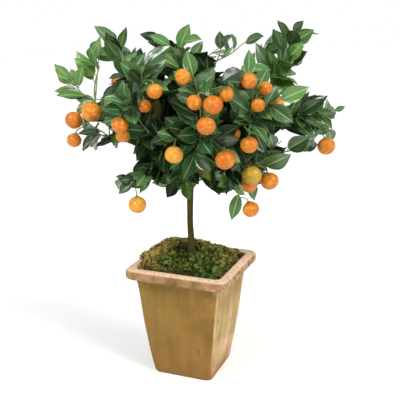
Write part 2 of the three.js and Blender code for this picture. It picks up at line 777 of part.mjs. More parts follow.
function leafSolid(leaf) {
  const points = [leaf.root.clone().addScaledVector(leaf.along, -LEAF_ROOT_IN)];
  for (const [share, width, rise, keel] of LEAF_STATIONS.slice(1, -1)) {
    points.push(
      bladePoint(leaf, share, -width),
      bladePoint(leaf, share, 0, rise),
      bladePoint(leaf, share, width),
      bladePoint(leaf, share, 0, -keel),
    );
  }
  points.push(bladePoint(leaf, 1, 0));
  return solidFrom(points, LEAF_FACES);
}

// The root is point 0; then come left edge, midrib, right edge and keel at two stations, then the tip
const LEAF_FACES = [
  [0, 2, 1], [0, 3, 2], [0, 4, 3], [0, 1, 4],
  [1, 2, 6], [1, 6, 5], [2, 3, 7], [2, 7, 6], [3, 4, 8], [3, 8, 7], [4, 1, 5], [4, 5, 8],
  [5, 6, 9], [6, 7, 9], [7, 8, 9], [8, 5, 9],
];

// Fruits and their stalks

// Where a fruit hangs: its axis points from its middle to the calyx, towards the twig that bears it
function hangingFruit([spray, middle, radius, ripeness], sprays) {
  const centre = vec(middle);
  const twigPoint = nearestOn(sprays[spray].twigs, centre.clone().addScaledVector(UP, radius));
  const axis = twigPoint.clone().sub(centre).normalize().multiplyScalar(STALK_TO_TWIG)
    .addScaledVector(UP, STALK_UP)
    .normalize();
  const calyx = centre.clone().addScaledVector(axis, radius * FRUIT_FLATNESS + FIT_GAP);
  const rise = Math.min(STALK_RISE, calyx.distanceTo(twigPoint) / 2);
  const stalk = [twigPoint, calyx.clone().addScaledVector(axis, rise), calyx];
  return { spray, centre, radius, ripeness, axis, stalk };
}

// A stalk, flared at its end into the calyx
const stalkSolid = ({ stalk }) => tube(stalk, [STALK_ROOT, STALK_RADIUS, CALYX_RADIUS], TWIG_SIDES);

function fruitGeometry({ centre, radius, axis }) {
  const geometry = new THREE.SphereGeometry(radius, ...FRUIT_FACETS);
  geometry.scale(1, FRUIT_FLATNESS, 1);
  geometry.applyQuaternion(new THREE.Quaternion().setFromUnitVectors(new THREE.Vector3(0, 1, 0), axis));
  geometry.translate(centre.x, centre.y, centre.z);
  return geometry;
}

// The crown: twigs first, then stalks, then leaves, each clear of what came before
function growCrown(rods) {
  const room = new Room();
  rods.forEach(({ path, radii }) => room.addRod(path, radii[0], "wood"));
  const sprays = {};
  for (const [name, { twigs }] of Object.entries(SPRAYS)) {
    sprays[name] = { twigs: twigs.map((path) => path.map(vec)), leaves: [] };
    sprays[name].twigs.forEach((path) => room.addRod(path, TWIG_RADII[0], name));
  }
  const fruits = FRUITS.map((fruit) => hangingFruit(fruit, sprays));
  for (const { spray, centre, radius, stalk } of fruits) {
    room.addBall(centre, radius);
    room.addRod(stalk, STALK_RADIUS, spray);
  }
  const names = Object.keys(SPRAYS);
  names.forEach((name, i) => growTipLeaves(name, sprays[name], room, seeded(i + 101)));
  names.forEach((name, i) => growSideTwigs(name, sprays[name].twigs, room, seeded(i + 201)));
  names.forEach((name, i) => growLeaves(name, sprays[name], room, seeded(i + 301)));
  return { sprays, fruits };
}

function makeSpray(name, { twigs, leaves }, fruits, woodRoom) {
  const twigSolids = twigs.map((path, i) => {
    const radii = i === 0 ? TWIG_RADII : SIDE_RADII;
    return tube(path, taper(path, radii), TWIG_SIDES);
  });
  const stalks = fruits.filter(({ spray }) => spray === name).map(stalkSolid);
  const whole = Manifold.union([...twigSolids, ...stalks, ...leaves.map(leafSolid)]);
  return mainBody(whole.subtract(woodRoom));
}

const materials = Object.fromEntries(Object.entries(COLOURS).map(([name, [color, roughness]]) => [
  name,
  new THREE.MeshStandardMaterial({ color, roughness, metalness: 0 }),
]));

function named(name, geometry, material) {
  const mesh = new THREE.Mesh(geometry, materials[material]);
  mesh.name = name;
  return mesh;
}

function build() {
  const rods = makeRods();
  const woodRoom = Manifold.union(rods.map(rodRoom));
  const { sprays, fruits } = growCrown(rods);

  const tree = new THREE.Group();
  tree.rotation.z = TREE_TURN;
  tree.add(named("trunk", geometryOf(mainBody(Manifold.union(rods.map(rodSolid)))), "wood"));
  for (const [name, spray] of Object.entries(sprays)) {
    tree.add(named(`spray_${name}`, geometryOf(makeSpray(name, spray, fruits, woodRoom)), "leaf"));
  }
  fruits.forEach((fruit, i) => {
    tree.add(named(`fruit_${String(i + 1).padStart(2, "0")}`, fruitGeometry(fruit), fruit.ripeness));
  });

  const object = new THREE.Group();
  const turnedRoom = woodRoom.rotate([0, 0, THREE.MathUtils.radToDeg(TREE_TURN)]);
  object.add(named("pot", geometryOf(makePot()), "pot"));
  object.add(named("soil", geometryOf(makeSoil(turnedRoom)), "soil"));
  object.add(named("moss", geometryOf(makeMoss()), "moss"));
  object.add(tree);
  return object;
}

export default build();
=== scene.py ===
import math

import bmesh
import bpy
import numpy as np
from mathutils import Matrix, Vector, noise


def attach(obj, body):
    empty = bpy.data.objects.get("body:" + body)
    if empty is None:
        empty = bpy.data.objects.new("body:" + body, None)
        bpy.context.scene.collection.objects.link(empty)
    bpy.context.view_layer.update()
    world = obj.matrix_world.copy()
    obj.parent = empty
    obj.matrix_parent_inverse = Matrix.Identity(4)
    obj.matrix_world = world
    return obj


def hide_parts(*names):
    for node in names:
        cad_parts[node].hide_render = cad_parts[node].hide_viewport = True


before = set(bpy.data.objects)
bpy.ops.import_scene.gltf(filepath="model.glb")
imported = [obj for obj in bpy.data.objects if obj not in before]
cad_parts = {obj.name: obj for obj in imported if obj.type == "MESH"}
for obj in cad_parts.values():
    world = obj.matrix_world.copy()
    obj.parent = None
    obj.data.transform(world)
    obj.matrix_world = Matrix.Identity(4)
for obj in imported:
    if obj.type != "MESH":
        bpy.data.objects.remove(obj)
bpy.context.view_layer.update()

MM = 0.001
TREE_TURN = math.radians(21.2)
FIT_GAP = 0.35

# Camera, at the photograph's viewing angle: it looks along the tree's depth
CAMERA_AZIMUTH = TREE_TURN
CAMERA_ELEVATION = math.radians(14.8)
CAMERA_DISTANCE = 1.4
CAMERA_LENS = 65.25
SENSOR_WIDTH = 36
TARGET_SIDE = 0.014
TARGET_UP = 0.346

# Pot, as half widths of its square sections, millimetres
POT_HEIGHT = 224
BASE_HALF = 61
BODY_TOP_HALF = 85
RIM_HALF = 103
MOUTH_HALF = 84
RIM_HEIGHT = 20
INNER_BASE_HALF = 52
INNER_TOP_HALF = 75.5
INNER_TOP_Z = 198
FLOOR = 10
DRAIN_RADIUS = 6
DRAIN_OFFSET = 28
BODY_TOP = POT_HEIGHT - RIM_HEIGHT

# Soil and moss: rings as half width, corner radius and height
SOIL_EDGE_Z = 206
SOIL_TOP = [[60, 14, 215], [42, 18, 226], [27, 16, 233]]
MOSS_HALF = 79.6
MOSS_HOLE = [22, 14.2, 234.6]
MOSS_TOP = [[78, 14, 222], [69, 16, 227.5], [55, 18, 233], [42, 18, 238], [31, 17, 241.5], [24, 15, 242]]
MOSS_COLLAR = [[18, 12.5, 241.5], [13, 10, 240.5]]
MOSS_EDGE_LIFT = 5
MOSS_LUMP = 1.8

# The moss is heaped up towards one corner, and leans out over the rim there
HEAP_LEFT = 0.8
HEAP_BACK = 0.6
HEAP_STEEPER = 1.35
MOSS_HEAP = 13
MOSS_HEAP_END = 0.8
MOSS_SPILL = 21
SPILL_FROM = 0.66
SPILL_RISE = 4
SPILL_DROOP = 0.3

# Wood, in the tree's frame
TRUNK_PATH = [[-2, 0, 196], [-2, 0, 238], [-3, 0, 247], [-3, 0, 262], [-5, 0, 300], [-5, 0, 345],
              [-3, 0, 392]]
TRUNK_RADII = [7.5, 8.2, 7.6, 6.9, 6, 6.3, 6.3]
ROOT_COUNT = 5
ROOT_SWING = 0.4
ROOT_RADII = [3.4, 2]
ROOT_SHAPE = [[0, 240], [10, 240], [17, 236.5], [24, 228]]
LIMBS = [
    ([[-3, 0, 388], [0, 4, 430], [6, 8, 480], [4, 6, 535], [-5, 2, 580]], [5, 2.4]),
    ([[-3, -1, 396], [-60, -20, 432], [-120, -30, 468], [-160, -30, 500]], [3.2, 2.2]),
    ([[0, 4, 425], [-45, 18, 478], [-85, 18, 540]], [3, 2.2]),
    ([[5, 7, 447], [50, 12, 492], [98, 12, 548]], [3, 2.2]),
    ([[-2, 0, 402], [68, -18, 430], [135, -25, 456]], [3.2, 2.3]),
    ([[-1, 2, 410], [8, -55, 440], [14, -100, 475]], [3, 2.2]),
    ([[-1, 3, 419], [-35, -50, 455], [-75, -85, 490]], [3, 2.2]),
    ([[1, 5, 434], [45, -45, 465], [80, -85, 500]], [3, 2.2]),
    ([[-1, 3, 415], [-8, 60, 450], [-12, 115, 485]], [3, 2.2]),
    ([[1, 5, 438], [-60, 60, 480], [-110, 95, 520]], [3, 2.2]),
    ([[4, 7, 457], [65, 60, 490], [115, 95, 530]], [3, 2.2]),
]

# Twigs and leaves grow by the same rule, from the same seeds, as the CAD solids
TWIG_RADII = [2, 1.2]
SIDE_RADII = [0.9, 1.3]
SPRAY_TWIGS = 4
SIDE_LENGTH = [46, 86]
SIDE_PITCH = [0.8, 1.3]
SIDE_TURN = 3
SIDE_OUTWARD = 0.7
SIDE_START = 0.8
TWIG_CLEAR = 3.6
LEAF_STEP = 21
LEAF_BARE = 0.12
LEAF_LENGTH = [43, 65]
LEAF_HALF = [0.22, 0.27]
LEAF_BEND = [0.15, 0.7]
LEAF_FOLD = [0.12, 0.42]
LEAF_PITCH = [0.85, 1.2]
END_LEAF_PITCH = [0.1, 0.45]
LEAF_ROLL = [-0.45, 0.45]
LEAF_OUTWARD = 0.35
FACE_UP = 0.7
FACE_OUTWARD = 0.5
LEAF_OUTLINE = [[0, 0], [0.26, 0.82], [0.64, 0.92], [1, 0]]
LEAF_TRIES = 12
RETRY_ROLL = 0.3
RETRY_TURN = 0.5
LEAF_ROOM = 6
SAMPLE_STEP = 4
SAMPLE_FROM = 0.2
SAMPLE_FREE = 0.35
TURN_PER_LEAF = math.radians(137.5)
CROWN_CENTRE = np.array([10.0, 0, 470])
CROWN_MIDDLE = np.array([16.0, 0, 500])
CROWN_REACH = np.array([266.0, 205, 160])
CROWN_WAIST_Z = 440
CROWN_FOOT_Z = 335
CROWN_FOOT_SHARE = 0.5
CROWN_SPLIT = 15

# Inner twigs and leaves that only the visual model has
SHOOT_STEP = 19
SHOOT_BARE = 0.12
SHOOT_REACH = [34, 66]
SHOOT_PITCH = [0.7, 1.3]
SHOOT_OUTWARD = 0.3
SHOOT_DEPTH = 0.8
SHOOT_ROOM = 0.8
SHOOT_TWIG_CLEAR = 2.0
FILL_STEP = 7
FILL_LENGTH = [40, 66]
FILL_PITCH = [0.5, 1.3]
FILL_ROOM = 1.6
FILL_TWIG_CLEAR = 1.2

# The share of the crown in which inner leaves grow, and at which of the steps along a twig; some sprays
# have values of their own
FILL_DEPTH = (0.84, 1)
FILL_OUTER = {
    "tall_right": (1.12, 1), "top_left": (1.1, 2), "left_upper": (1.06, 2), "right_upper": (1.02, 1),
    "top": (1.05, 2), "low_left": (1.1, 1), "right_low": (1.0, 2),
}

# How the blades are turned in the visual model: out of the crown, towards its front or its back, and up
SHOW_OUT = 0.5
SHOW_AHEAD = 0.85
SHOW_UP = 0.35
SHOW_ROLL = [-0.35, 0.35]
SHOW_BEND = 0.6
SHOW_HALF = 1.08
SHOW_ROOM = 1.0
SLANT = 1.0
SLANT_STEPS = 60

# Sprays whose first leaves hang free, seen whole
HANGING = ["trunk_sprout"]
HANGING_REACH = 14

# Fruits
FRUIT_FLATNESS = 0.94
FRUIT_CLEAR = 1.6
STALK_RADIUS = 1.2
STALK_RISE = 3.2
STALK_TO_TWIG = 0.6
STALK_UP = 0.8
CALYX_RADIUS = 3.6

# Leafy sprays: twigs, then the tips where the outermost leaves end
SPRAYS = {
    "top_left": (
        [[[-85, 18, 540], [-115, 25, 585], [-141, 28, 634]]],
        [[-184, 40, 672], [-122, 25, 671], [-196, 35, 626], [-106, 34, 634], [-158, 12, 586]],
    ),
    "left_upper": (
        [[[-160, -30, 500], [-178, -22, 540], [-180, 0, 570], [-172, 10, 602]],
         [[-178, -22, 540], [-202, -25, 555], [-220, -22, 580]]],
        [[-218, 30, 627], [-228, 20, 594], [-250, -20, 595], [-241, -32, 549], [-183, -38, 574],
         [-210, -45, 526]],
    ),
    "left_mid": (
        [[[-120, -30, 468], [-150, -52, 478], [-185, -46, 486], [-196, -44, 503]],
         [[-150, -52, 478], [-150, -72, 510], [-160, -84, 550]]],
        [[-174, -70, 463], [-128, -84, 452]],
    ),
    "upper_left": (
        [[[-45, 18, 478], [-82, -10, 525], [-114, -40, 560], [-118, -25, 595]]],
        [[-144, -52, 592], [-106, -52, 604], [-100, -8, 628], [-72, -24, 598]],
    ),
    "top": (
        [[[-5, 2, 580], [-18, -4, 606], [-25, -5, 630]],
         [[-18, -4, 606], [-38, 14, 634]],
         [[-11, 0, 592], [-22, -44, 600]]],
        [[-81, 20, 656], [-74, -64, 627], [-5, -5, 677]],
    ),
    "top_right": (
        [[[5, 7, 505], [24, 6, 570], [45, 5, 610], [52, 6, 628]],
         [[24, 6, 570], [4, -8, 600]],
         [[45, 5, 610], [72, 30, 622], [97, 54, 640]],
         [[24, 6, 570], [60, -18, 584], [92, -30, 598]]],
        [[10, 0, 658], [50, 10, 664], [76, 14, 636], [74, 62, 657], [114, -20, 627], [141, -46, 597]],
    ),
    "tall_right": (
        [[[98, 12, 548], [142, 12, 562], [170, 14, 600], [179, 17, 638], [184, 18, 660]]],
        [[116, 10, 643], [156, 20, 683], [205, 22, 682], [214, 14, 651], [208, 20, 636], [203, 20, 614],
         [139, 5, 628]],
    ),
    "right_upper": (
        [[[135, -25, 456], [165, -12, 492], [200, -6, 513], [236, -5, 508], [264, 0, 518]]],
        [[204, -10, 557], [217, -5, 556], [229, -10, 551], [243, -10, 543], [270, 5, 500], [285, 0, 527],
         [176, -36, 534], [258, -12, 480]],
    ),
    "right_low": (
        [[[85, -20, 437], [122, -45, 445], [152, -42, 447], [190, -36, 454], [226, -32, 482]],
         [[122, -45, 445], [142, -72, 460], [160, -78, 476]]],
        [[254, -22, 486], [190, -32, 430], [174, -77, 446], [147, -87, 437], [172, -84, 500]],
    ),
    "front_right": (
        [[[80, -85, 500], [100, -105, 525], [104, -116, 560], [100, -122, 592]],
         [[100, -105, 525], [99, -130, 515], [96, -150, 508]]],
        [[118, -124, 490], [81, -137, 518], [52, -137, 539], [118, -118, 628]],
    ),
    "front_mid": (
        [[[14, -100, 475], [16, -124, 510], [14, -136, 550], [4, -132, 592]],
         [[15, -112, 492], [40, -130, 482], [52, -138, 474]],
         [[16, -124, 510], [22, -155, 535], [30, -172, 566]],
         [[15, -112, 492], [-12, -116, 497], [-26, -138, 490]]],
        [[53, -150, 522], [15, -150, 494]],
    ),
    "front_left": (
        [[[-75, -85, 490], [-96, -88, 520], [-100, -98, 555], [-80, -108, 586]],
         [[-96, -88, 520], [-108, -116, 534], [-116, -134, 537]]],
        [[-128, -112, 540], [-60, -112, 610]],
    ),
    "low_left": (
        [[[-3, -1, 389], [-40, -34, 404], [-76, -60, 406], [-112, -80, 406]]],
        [[-137, -86, 413], [-96, -82, 380], [-92, -96, 418], [-65, -86, 404]],
    ),
    "low_right": (
        [[[-1, -2, 382], [42, -42, 402], [82, -72, 404], [94, -76, 426], [102, -94, 446]],
         [[82, -72, 404], [84, -98, 388], [80, -111, 381]]],
        [[26, -62, 369], [69, -90, 374], [70, -112, 338]],
    ),
    "trunk_sprout": (
        [[[-4, -1, 374], [-18, -24, 390], [-32, -34, 397]]],
        [[-5, -48, 357], [-49, -25, 357]],
    ),
    "back_left": (
        [[[-110, 95, 520], [-124, 108, 552], [-128, 120, 596]],
         [[-117, 101, 536], [-152, 95, 514], [-188, 78, 522]],
         [[-117, 101, 536], [-105, 130, 540], [-98, 145, 534]]],
        [[-232, 70, 535], [-150, 140, 635]],
    ),
    "back": (
        [[[-12, 115, 485], [-10, 138, 515], [-8, 146, 555], [-4, 138, 600]]],
        [[20, 150, 640], [-40, 175, 600]],
    ),
    "back_right": (
        [[[115, 95, 530], [130, 108, 560], [140, 112, 600], [134, 100, 636]],
         [[122, 101, 544], [155, 92, 520], [192, 74, 508]]],
        [[234, 60, 520], [165, 120, 660]],
    ),
    "back_top": (
        [[[4, 6, 535], [-4, 40, 574], [-28, 64, 614], [-42, 70, 640]],
         [[-16, 52, 594], [24, 70, 612], [52, 84, 630]]],
        [[-62, 82, 672], [80, 100, 655], [-14, 78, 662]],
    ),
    "back_low": (
        [[[-8, 60, 450], [-40, 95, 436], [-68, 130, 430]],
         [[-20, 73, 445], [30, 108, 440], [78, 132, 450]]],
        [[-100, 150, 400], [115, 160, 430], [0, 120, 395]],
    ),
}

# How young a spray's leaves are, from 0, dark, to 1, fresh light green
YOUNG = {"left_upper": 0.5, "tall_right": 0.5, "trunk_sprout": 1.0, "top": 0.2, "top_right": 0.25}

# Fruits: the spray that bears it, its middle, its radius and its ripeness
FRUITS = [
    ("left_mid", [-176, -90, 529], 18, "orange"),
    ("left_mid", [-213, -55, 509], 16.2, "orange"),
    ("left_mid", [-213, -63, 474], 13.4, "orange"),
    ("front_left", [-121, -142, 514], 14.6, "orange"),
    ("front_left", [-120, -108, 490], 12.6, "orange"),
    ("front_left", [-61, -150, 571], 13.2, "orange"),
    ("front_left", [-80, -122, 543], 11.4, "orange"),
    ("front_mid", [-14, -152, 595], 13.6, "orange"),
    ("front_mid", [5, -176, 556], 13, "orange"),
    ("front_mid", [35, -190, 554], 16.2, "orange"),
    ("front_mid", [57, -152, 567], 13.4, "orange"),
    ("front_mid", [24, -190, 520], 15.6, "orange"),
    ("front_mid", [-29, -92, 488], 14.1, "orange"),
    ("front_mid", [-30, -152, 465], 15.8, "amber"),
    ("front_right", [94, -156, 589], 13.6, "orange"),
    ("front_right", [124, -128, 574], 12, "orange"),
    ("front_right", [111, -142, 547], 12.2, "orange"),
    ("front_right", [147, -100, 543], 12.6, "amber"),
    ("front_right", [71, -130, 498], 12.2, "orange"),
    ("front_right", [96, -162, 484], 14.8, "orange"),
    ("front_mid", [56, -167, 459], 16.8, "orange"),
    ("low_right", [104, -128, 424], 17.2, "green"),
    ("low_right", [137, -108, 409], 16.2, "orange"),
    ("low_right", [102, -91, 398], 15, "orange"),
    ("low_right", [104, -117, 360], 14.9, "orange"),
    ("low_left", [-99, -90, 361], 16.3, "amber"),
    ("right_low", [248, -30, 457], 16.7, "orange"),
    ("back_left", [-150, 120, 560], 15.2, "orange"),
    ("back_left", [-96, 150, 508], 16, "orange"),
    ("back_left", [-176, 86, 494], 14, "amber"),
    ("back", [-30, 176, 560], 14.8, "orange"),
    ("back", [12, 166, 500], 16, "orange"),
    ("back_right", [108, 142, 562], 15, "orange"),
    ("back_right", [166, 120, 522], 15.6, "orange"),
    ("back_low", [-60, 122, 403], 15, "orange"),
    ("back_low", [92, 134, 424], 15.4, "green"),
]

# The fruits on the near side that the photograph shows partly behind leaves; those further back are free
# to be hidden
PARTLY_HIDDEN = [[-29, -92, 488], [57, -152, 567], [71, -130, 498], [147, -100, 543], [111, -142, 547],
                 [-14, -152, 595]]
WHOLE_BEFORE = -20
FRUIT_CORE = 0.9
HIDING_SAMPLES = 3

# Open gaps in the crown, and its free outside, where no inner twig or leaf grows: a place in the
# photograph's frame of 400 by 400, and a radius there
FRAME_SIZE = 400
GAPS = [
    (96, 88, 12), (104, 61, 6), (119, 70, 6), (92, 74, 6), (137, 40, 9), (171, 36, 7), (150, 54, 4),
    (226, 62, 8), (238, 66, 8), (240, 52, 8), (214, 44, 6), (262, 50, 8), (262, 62, 6), (321, 74, 20),
    (319, 46, 10), (290, 103, 5), (281, 139, 7), (294, 138, 6), (303, 176, 24), (332, 176, 27),
    (286, 168, 11), (275, 172, 7), (103, 131, 6), (125, 150, 7), (112, 158, 10), (95, 172, 21),
    (126, 163, 6), (292, 88, 4), (151, 191, 7), (160, 193, 6), (203, 192, 6), (196, 197, 4),
    (112, 197, 6), (180, 46, 4), (342, 120, 7), (341, 130, 5), (134, 200, 9), (151, 199, 9),
    (165, 207, 14), (200, 210, 16), (222, 210, 12), (238, 196, 6), (278, 198, 16), (66, 108, 8),
    (60, 150, 20), (60, 40, 22), (345, 90, 16),
]
GAP_SHARE = 0.35

# Seeds: each way of growing the crown draws from its own, counted on from spray to spray
TIP_SEED = 101
SIDE_SEED = 201
LEAF_SEED = 301
INNER_SEED = 401
SHOW_SEED = 601
SHOOT_SEED = 701
SPRAY_LOOK_SEED = 500
FRUIT_LOOK_SEED = 800
MOSS_SEED = 77
CRUMB_SEED = 31

UP = np.array([0.0, 0.0, 1.0])


# Small vector sums

def vec(point):
    return np.array(point, float)


def cross(a, b):
    return np.array([a[1] * b[2] - a[2] * b[1], a[2] * b[0] - a[0] * b[2], a[0] * b[1] - a[1] * b[0]])


def unit(v):
    return v / math.sqrt(v @ v)


def turned(v, axis, angle):
    """v, turned about a unit axis."""
    return (v * math.cos(angle) + cross(axis, v) * math.sin(angle)
            + axis * (axis @ v) * (1 - math.cos(angle)))


def seeded(seed):
    """The same linear congruential generator as the CAD source has."""
    state = seed

    def draw():
        nonlocal state
        state = (state * 1664525 + 1013904223) % 4294967296
        return state / 4294967296
    return draw


def between(span, random):
    return span[0] + (span[1] - span[0]) * random()


def tree_to_world(points_mm):
    """Points in the tree's frame, in millimetres, to the row frame in metres."""
    c, s = math.cos(TREE_TURN), math.sin(TREE_TURN)
    return np.asarray(points_mm) @ np.array([[c, s, 0], [-s, c, 0], [0, 0, 1]]) * MM


# Growing the crown

def in_crown(points, share=1.0):
    """Whether points lie inside the crown's outline, or inside a share of it."""
    waist = np.clip((points[:, 2] - CROWN_FOOT_Z) / (CROWN_WAIST_Z - CROWN_FOOT_Z), 0, 1)
    width = CROWN_FOOT_SHARE + (1 - CROWN_FOOT_SHARE) * waist
    x, y, z = ((points - CROWN_MIDDLE) / CROWN_REACH / share).T
    return (x / width) ** 4 + (y / width) ** 4 + z ** 4 < 1


def as_seen(points):
    """Where points lie in the photograph's frame, across and down, and how far they are off."""
    camera = CAMERA_DISTANCE / MM * np.array([0, -math.cos(CAMERA_ELEVATION), math.sin(CAMERA_ELEVATION)])
    across, deep, up = (points - camera - np.array([TARGET_SIDE, 0, TARGET_UP]) / MM).T
    off = deep * math.cos(CAMERA_ELEVATION) - up * math.sin(CAMERA_ELEVATION)
    rise = deep * math.sin(CAMERA_ELEVATION) + up * math.cos(CAMERA_ELEVATION)
    scale = CAMERA_LENS / SENSOR_WIDTH * FRAME_SIZE / off
    return FRAME_SIZE / 2 + across * scale, FRAME_SIZE / 2 - rise * scale, off


def share_in_gaps(points):
    across, down, _ = as_seen(points)
    inside = [np.hypot(across - x, down - y) < radius for x, y, radius in GAPS]
    return np.any(inside, axis=0).mean()


def hides_fruit(points, balls):
    """Whether points lie before one of the fruits that the camera sees whole."""
    across, down, off = as_seen(points)
    for middle, radius in balls:
        x, y, fruit_off = (value[0] for value in as_seen(middle[None]))
        reach = radius * CAMERA_LENS / SENSOR_WIDTH * FRAME_SIZE / fruit_off
        before = (np.hypot(across - x, down - y) < FRUIT_CORE * reach) & (off < fruit_off)
        if before.sum() > HIDING_SAMPLES:
            return True
    return False


def middle_and_reach(points):
    """A ball that holds the points."""
    middle = points.mean(axis=0)
    return middle, np.linalg.norm(points - middle, axis=1).max()


class Room:
    """What a new twig or leaf must stay clear of."""

    MOST = 4000

    def __init__(self):
        self.rod_starts, self.rod_spans = np.zeros((2, self.MOST, 3))
        self.rod_radii = np.zeros(self.MOST)
        self.rod_owners = []
        self.balls = []
        self.blades = []
        self.blade_middles = np.zeros((self.MOST, 3))
        self.blade_reaches = np.zeros(self.MOST)

    def add_rod(self, path, radius, owner):
        for start, end in zip(path, path[1:]):
            n = len(self.rod_owners)
            self.rod_starts[n], self.rod_spans[n], self.rod_radii[n] = start, end - start, radius
            self.rod_owners.append(owner)

    def add_blade(self, points):
        n = len(self.blades)
        self.blade_middles[n], self.blade_reaches[n] = middle_and_reach(points)
        self.blades.append(points)

    def hits_ball(self, points, middle, reach):
        return any(np.linalg.norm(ball - middle) < radius + FRUIT_CLEAR + reach
                   and (np.linalg.norm(points - ball, axis=1) < radius + FRUIT_CLEAR).any()
                   for ball, radius in self.balls)

    def hits_rod(self, points, middle, reach, free, owner, clear):
        """Rods of the owner are passed over near the place where the new piece leaves them."""
        count = len(self.rod_owners)
        half = self.rod_spans[:count] / 2
        gaps = np.linalg.norm(self.rod_starts[:count] + half - middle, axis=1)
        near = np.nonzero(gaps < reach + np.linalg.norm(half, axis=1) + self.rod_radii[:count] + clear)[0]
        spans = self.rod_spans[near]
        away = points[:, None] - self.rod_starts[near]
        share = np.einsum("pnc,nc->pn", away, spans) / np.einsum("nc,nc->n", spans, spans)
        away -= np.clip(share, 0, 1)[..., None] * spans
        hits = np.einsum("pnc,pnc->pn", away, away) < (self.rod_radii[near] + clear) ** 2
        own = np.array([self.rod_owners[n] == owner for n in near], bool)
        return (hits & ~((~free)[:, None] & own)).any()

    def has_leaf_near(self, points, middle, reach, room):
        count = len(self.blades)
        gaps = np.linalg.norm(self.blade_middles[:count] - middle, axis=1)
        near = np.nonzero(gaps < reach + self.blade_reaches[:count] + room)[0]
        if not len(near):
            return False
        away = points[:, None] - np.concatenate([self.blades[n] for n in near])
        return (np.einsum("pqc,pqc->pq", away, away) < room ** 2).any()

    def is_clear(self, points, free, owner, leaf_room=LEAF_ROOM, rod_clear=TWIG_CLEAR):
        ball = middle_and_reach(points)
        return not (self.hits_ball(points, *ball) or self.hits_rod(points, *ball, free, owner, rod_clear)
                    or self.has_leaf_near(points, *ball, leaf_room))


def length_of(path):
    return sum(np.linalg.norm(b - a) for a, b in zip(path, path[1:]))


def spot_on(path, distance):
    """The place and direction at a distance along a path."""
    left = distance
    for i in range(len(path) - 1):
        length = np.linalg.norm(path[i + 1] - path[i])
        if left <= length or i + 2 == len(path):
            along = unit(path[i + 1] - path[i])
            return path[i] + along * min(left, length), along
        left -= length


def outward_from(point):
    return unit(point - CROWN_CENTRE)


def leaving(along, pitch, turn):
    """A direction that leaves `along` at a pitch, turned about it."""
    across = unit(cross(along, UP if abs(along[2]) < 0.9 else np.array([1.0, 0, 0])))
    over = cross(across, along)
    return (along * math.cos(pitch) + across * math.sin(pitch) * math.cos(turn)
            + over * math.sin(pitch) * math.sin(turn))


def twig_samples(path):
    length = length_of(path)
    count = math.ceil(length / SAMPLE_STEP)
    shares = (np.arange(count) + 1) / count
    return np.array([spot_on(path, share * length)[0] for share in shares]), shares > SAMPLE_FREE


def grow_side_twigs(name, spray, room, random):
    twigs = spray["twigs"]
    parent = twigs[0]
    count = SPRAY_TWIGS - len(twigs)
    for k in range(count):
        point, along = spot_on(parent, length_of(parent) * (k + SIDE_START) / count)
        for _ in range(LEAF_TRIES):
            pitch = between(SIDE_PITCH, random)
            length = between(SIDE_LENGTH, random)
            way = leaving(along, pitch, k * TURN_PER_LEAF + SIDE_TURN * random())
            way = unit(way + outward_from(point) * SIDE_OUTWARD)
            path = [point, point + way * length]
            points, free = twig_samples(path)
            if in_crown(points).all() and room.is_clear(points, free, name):
                twigs.append(path)
                room.add_rod(path, TWIG_RADII[0], name)
                break


def blade_points(leaf, share, across, lift=0.0, fold=1.0):
    """A blade bends along an arc and folds up along its midrib: share runs along it, across from -1 to
    1, and both may be arrays."""
    turn = np.asarray(leaf["bend"] * share)[..., None]
    bow = leaf["length"] / leaf["bend"]
    middle = leaf["root"] + leaf["along"] * bow * np.sin(turn) - leaf["face"] * bow * (1 - np.cos(turn))
    normal = leaf["face"] * np.cos(turn) + leaf["along"] * np.sin(turn)
    side = cross(leaf["along"], leaf["face"])
    width = (leaf["half"] * np.asarray(across))[..., None]
    angle = np.asarray(leaf["fold"] * fold)
    angle = angle[..., None] if angle.ndim else angle
    rise = np.abs(width) * np.sin(angle) + np.asarray(lift)[..., None]
    return middle + side * width * np.cos(angle) + normal * rise


def blade_samples(leaf):
    steps = math.ceil(leaf["length"] * (1 - SAMPLE_FROM) / SAMPLE_STEP)
    shares = SAMPLE_FROM + (1 - SAMPLE_FROM) * np.arange(steps + 1) / steps
    widths = np.interp(shares, *np.array(LEAF_OUTLINE).T)
    across = np.array([-1, -0.5, 0, 0.5, 1]) * widths[:, None]
    share = np.repeat(shares[:, None], 5, axis=1)
    points = blade_points(leaf, share, across, np.zeros_like(share))
    return points.reshape(-1, 3), (share > SAMPLE_FREE).ravel()


def leaf_shape(root, along, face, length, random):
    half = length * between(LEAF_HALF, random)
    bend = between(LEAF_BEND, random)
    fold = between(LEAF_FOLD, random)
    return {"root": root, "along": along, "face": face, "length": length, "half": half, "bend": bend,
            "fold": fold}


def face_for(along, root, roll):
    """The upper side looks up and outward, as far as the blade's direction lets it."""
    wanted = UP * FACE_UP + outward_from(root) * FACE_OUTWARD
    return turned(unit(wanted - along * (wanted @ along)), along, roll)


def nearest_on(twigs, tip):
    best = None
    for path in twigs:
        for start, end in zip(path, path[1:]):
            span = end - start
            point = start + span * min(max((tip - start) @ span / (span @ span), 0), 1)
            if best is None or np.linalg.norm(point - tip) < np.linalg.norm(best - tip):
                best = point
    return best


def leaf_to_tip(twigs, tip, roll, random):
    root = nearest_on(twigs, tip)
    reach = np.linalg.norm(tip - root)
    chord = (tip - root) / reach
    leaf = leaf_shape(root, chord, face_for(chord, root, roll), reach, random)
    along, face, half_bend = leaf["along"], leaf["face"], leaf["bend"] / 2
    leaf["along"] = along * math.cos(half_bend) + face * math.sin(half_bend)
    leaf["face"] = face * math.cos(half_bend) - along * math.sin(half_bend)
    leaf["length"] = reach * half_bend / math.sin(half_bend)
    leaf["starts_lower"] = True
    return leaf


